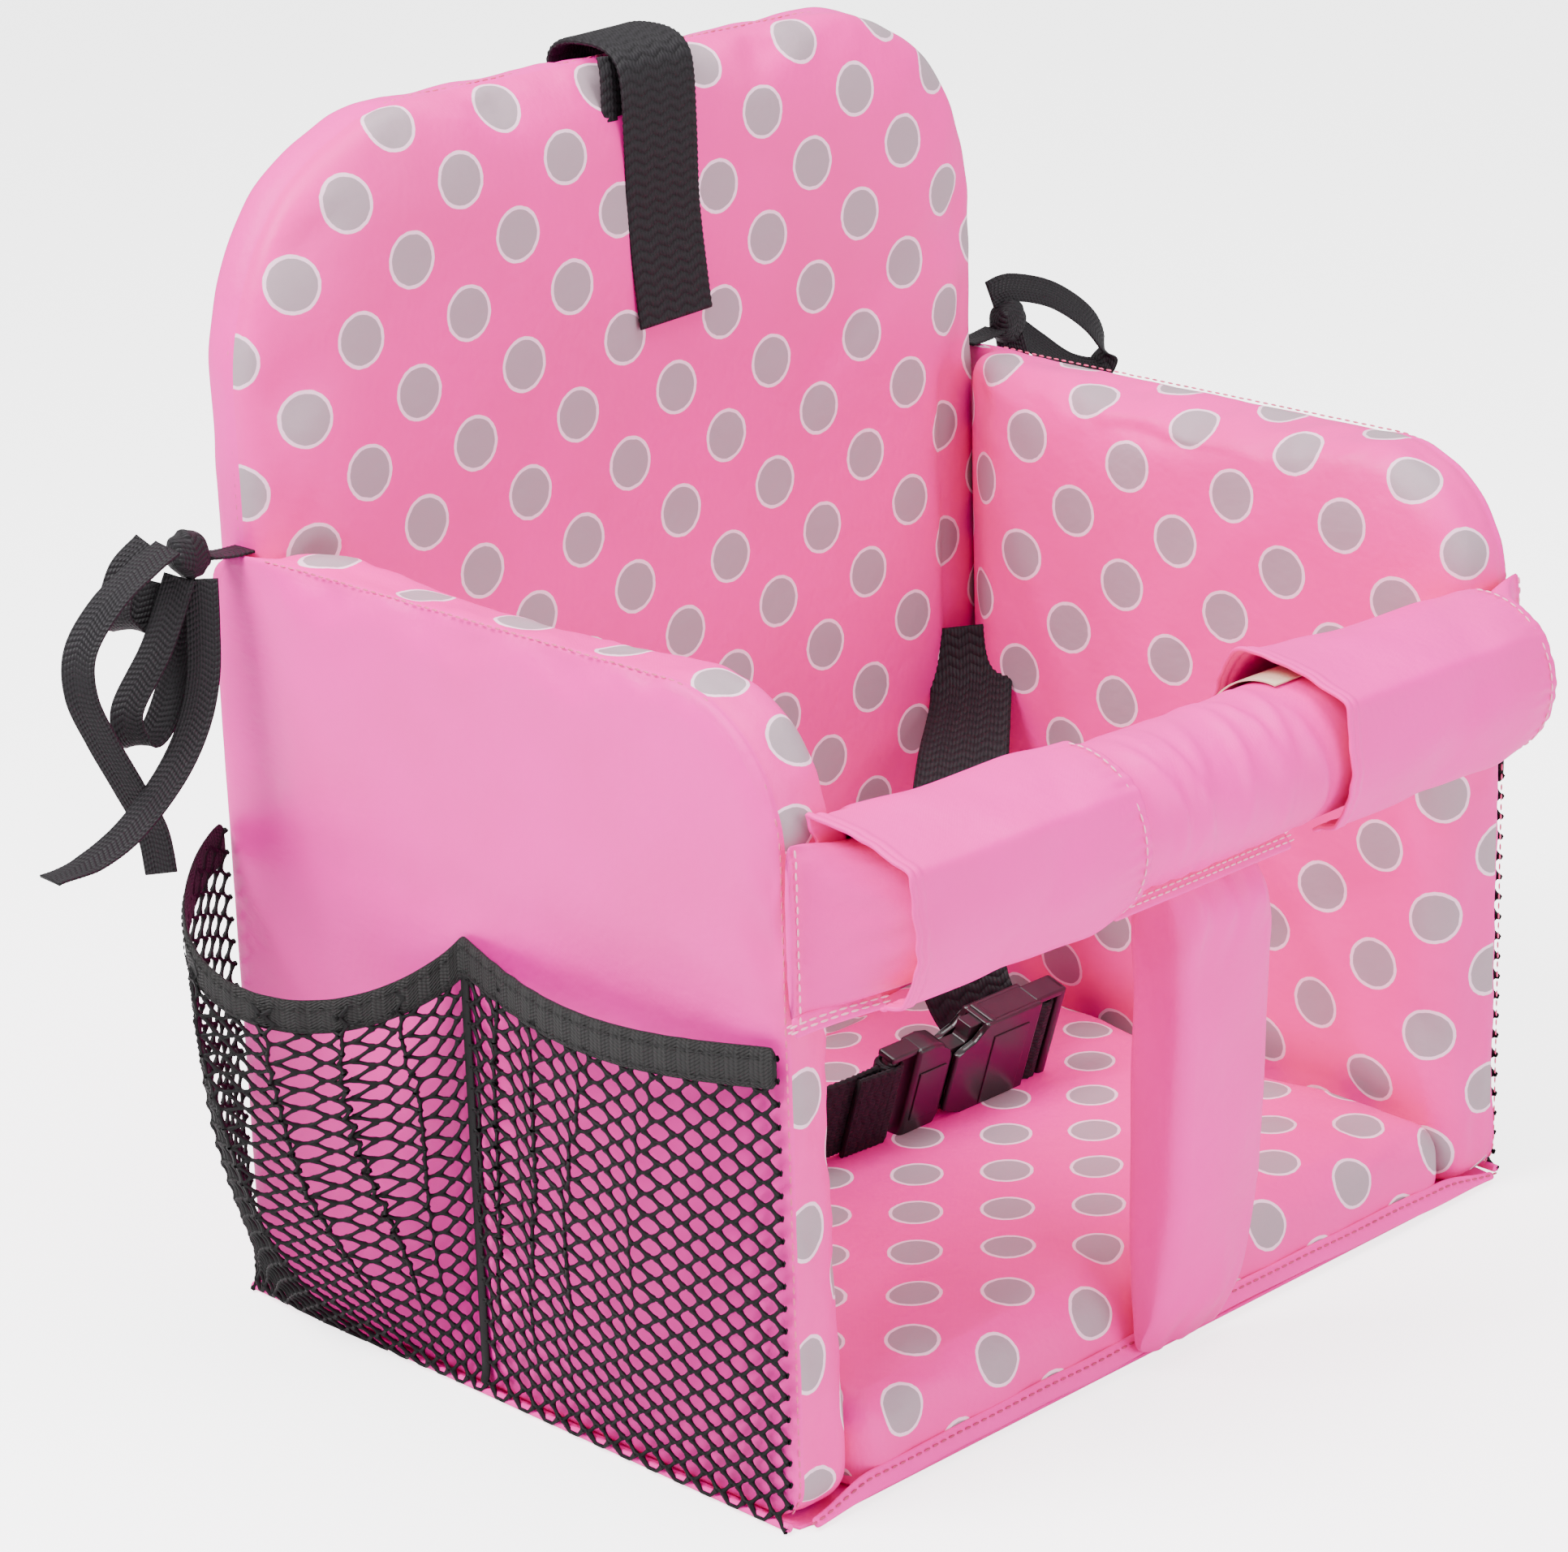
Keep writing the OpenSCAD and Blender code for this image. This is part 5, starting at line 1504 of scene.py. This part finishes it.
def slab(work, outline, low, high, bevel):
    first = [work.verts.new((x, low, z)) for x, z in outline]
    second = [work.verts.new((x, high, z)) for x, z in outline]
    count = len(outline)
    faces = [work.faces.new(first), work.faces.new(second[::-1])]
    for k in range(count):
        n = (k + 1) % count
        faces.append(work.faces.new((first[n], first[k], second[k], second[n])))
    edges = list({e for f in faces for e in f.edges})
    bmesh.ops.bevel(work, geom=edges, offset=bevel, segments=3, profile=0.6, affect="EDGES",
                    clamp_overlap=True)


def boxOutline(x0, x1, z0, z1):
    return [(x0, z0), (x0, z1), (x1, z1), (x1, z0)]


def bar(work, x0, x1, z0, z1, half, bevel):
    slab(work, boxOutline(x0, x1, z0, z1), -half, half, bevel)


def sideBar(work, sign, x0, x1, z0, z1, half, bevel):
    bar(work, x0, x1, *sorted((sign * z0, sign * z1)), half, bevel)


def rod(work, x):
    radius, depth = buckle["rodRadius"], 2 * buckle["rodReach"]
    place = Matrix.Translation((x, 0, 0))
    bmesh.ops.create_cone(work, cap_ends=True, segments=24, radius1=radius, radius2=radius, depth=depth,
                          matrix=place)


def buckleObject(name, work):
    bmesh.ops.recalc_face_normals(work, faces=work.faces)
    points = inBuckle(np.array([tuple(v.co) for v in work.verts]))
    faces = [tuple(v.index for v in f.verts) for f in work.faces]
    work.free()
    made = makeObject(name, points, faces, ["plastic"], None, np.zeros((sum(len(f) for f in faces), 2)))
    turnOutward(made)
    addModifier(made, "WEIGHTED_NORMAL", keep_sharp=True)
    bake(made)
    return made


def makeSocket():
    work = bmesh.new()
    for plate in shell["socketPlates"]:
        slab(work, shell["socket"], *plate)
    for sign in (-1, 1):
        for piece in shell["socketSides"]:
            sideBar(work, sign, *piece)
    for piece in shell["socketBars"]:
        bar(work, *piece)
    edge, levels = shell["socketRelief"]
    slab(work, boxOutline(*edge), *levels)
    rod(work, buckle["socketBar"])
    finish(buckleObject("buckleSocket", work), "seat", ("buckle_socket",))


def makePlug():
    work = bmesh.new()
    slab(work, shell["plug"], *shell["plugPlate"])
    for sign in (-1, 1):
        sideBar(work, sign, *shell["plugSide"])
    bar(work, *shell["plugTongue"])
    edge, levels = shell["plugRelief"]
    slab(work, boxOutline(*edge), *levels)
    rod(work, buckle["plugBar"])
    finish(buckleObject("bucklePlug", work), "plug", ("buckle_plug",))


def softenedCopy(name, node, width):
    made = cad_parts[node].copy()
    made.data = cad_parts[node].data.copy()
    made.name = name
    for key in list(made.keys()):
        del made[key]
    made.parent = None
    bpy.context.scene.collection.objects.link(made)
    work = bmesh.new()
    work.from_mesh(made.data)
    bmesh.ops.remove_doubles(work, verts=work.verts, dist=2e-6)
    bmesh.ops.dissolve_limit(work, angle_limit=math.radians(3), verts=work.verts, edges=work.edges)
    work.to_mesh(made.data)
    work.free()
    made.data.materials.clear()
    made.data.materials.append(materials["plastic"])
    addModifier(made, "BEVEL", width=width * mm, segments=3, limit_method="ANGLE",
                angle_limit=math.radians(32))
    bake(made)
    made.data.polygons.foreach_set("use_smooth", [True] * len(made.data.polygons))
    addModifier(made, "WEIGHTED_NORMAL", keep_sharp=True)
    bake(made)
    return made


def makeBuckle():
    makeSocket()
    makePlug()
    for part in ("upper", "lower"):
        made = softenedCopy(f"buckleProng{part.capitalize()}", f"prong_{part}", 0.8)
        finish(made, f"prong_{part}", (f"prong_{part}",))


base = {"low": (-165, -120), "high": (165, 129), "radii": (5, 5, 5, 5), "cells": (40, 30),
        "thickness": 1.2, "rim": 0.6,
        "rearRim": 0.55, "wallRows": 1, "seamDepth": 0.6, "print": {"dotAt": (0, 0)}}


def makeBase():
    made, info = panelMesh("baseSheet", base, lambda ab, d: np.stack([ab[:, 0], ab[:, 1], 1.2 - d], 1))
    made.data.materials[0] = materials["plain"]
    finish(made, "seat", ("seat_cover_bottom",))


def coatNodes():
    looks = {"seam_": "plain", "strap_loop_tape": "hooks", "strap_hook_tape": "hooks", "wrap_": "hooks",
             "stub_left_loop_tape": "loops", "rail_loop_tape": "loops"}
    for name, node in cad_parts.items():
        for start, look in looks.items():
            if name.startswith(start) and not node.hide_render:
                node.data.materials.clear()
                node.data.materials.append(materials[look])


makeBuckle()
makeBase()
coatNodes()
print("buckle, base and tapes made")
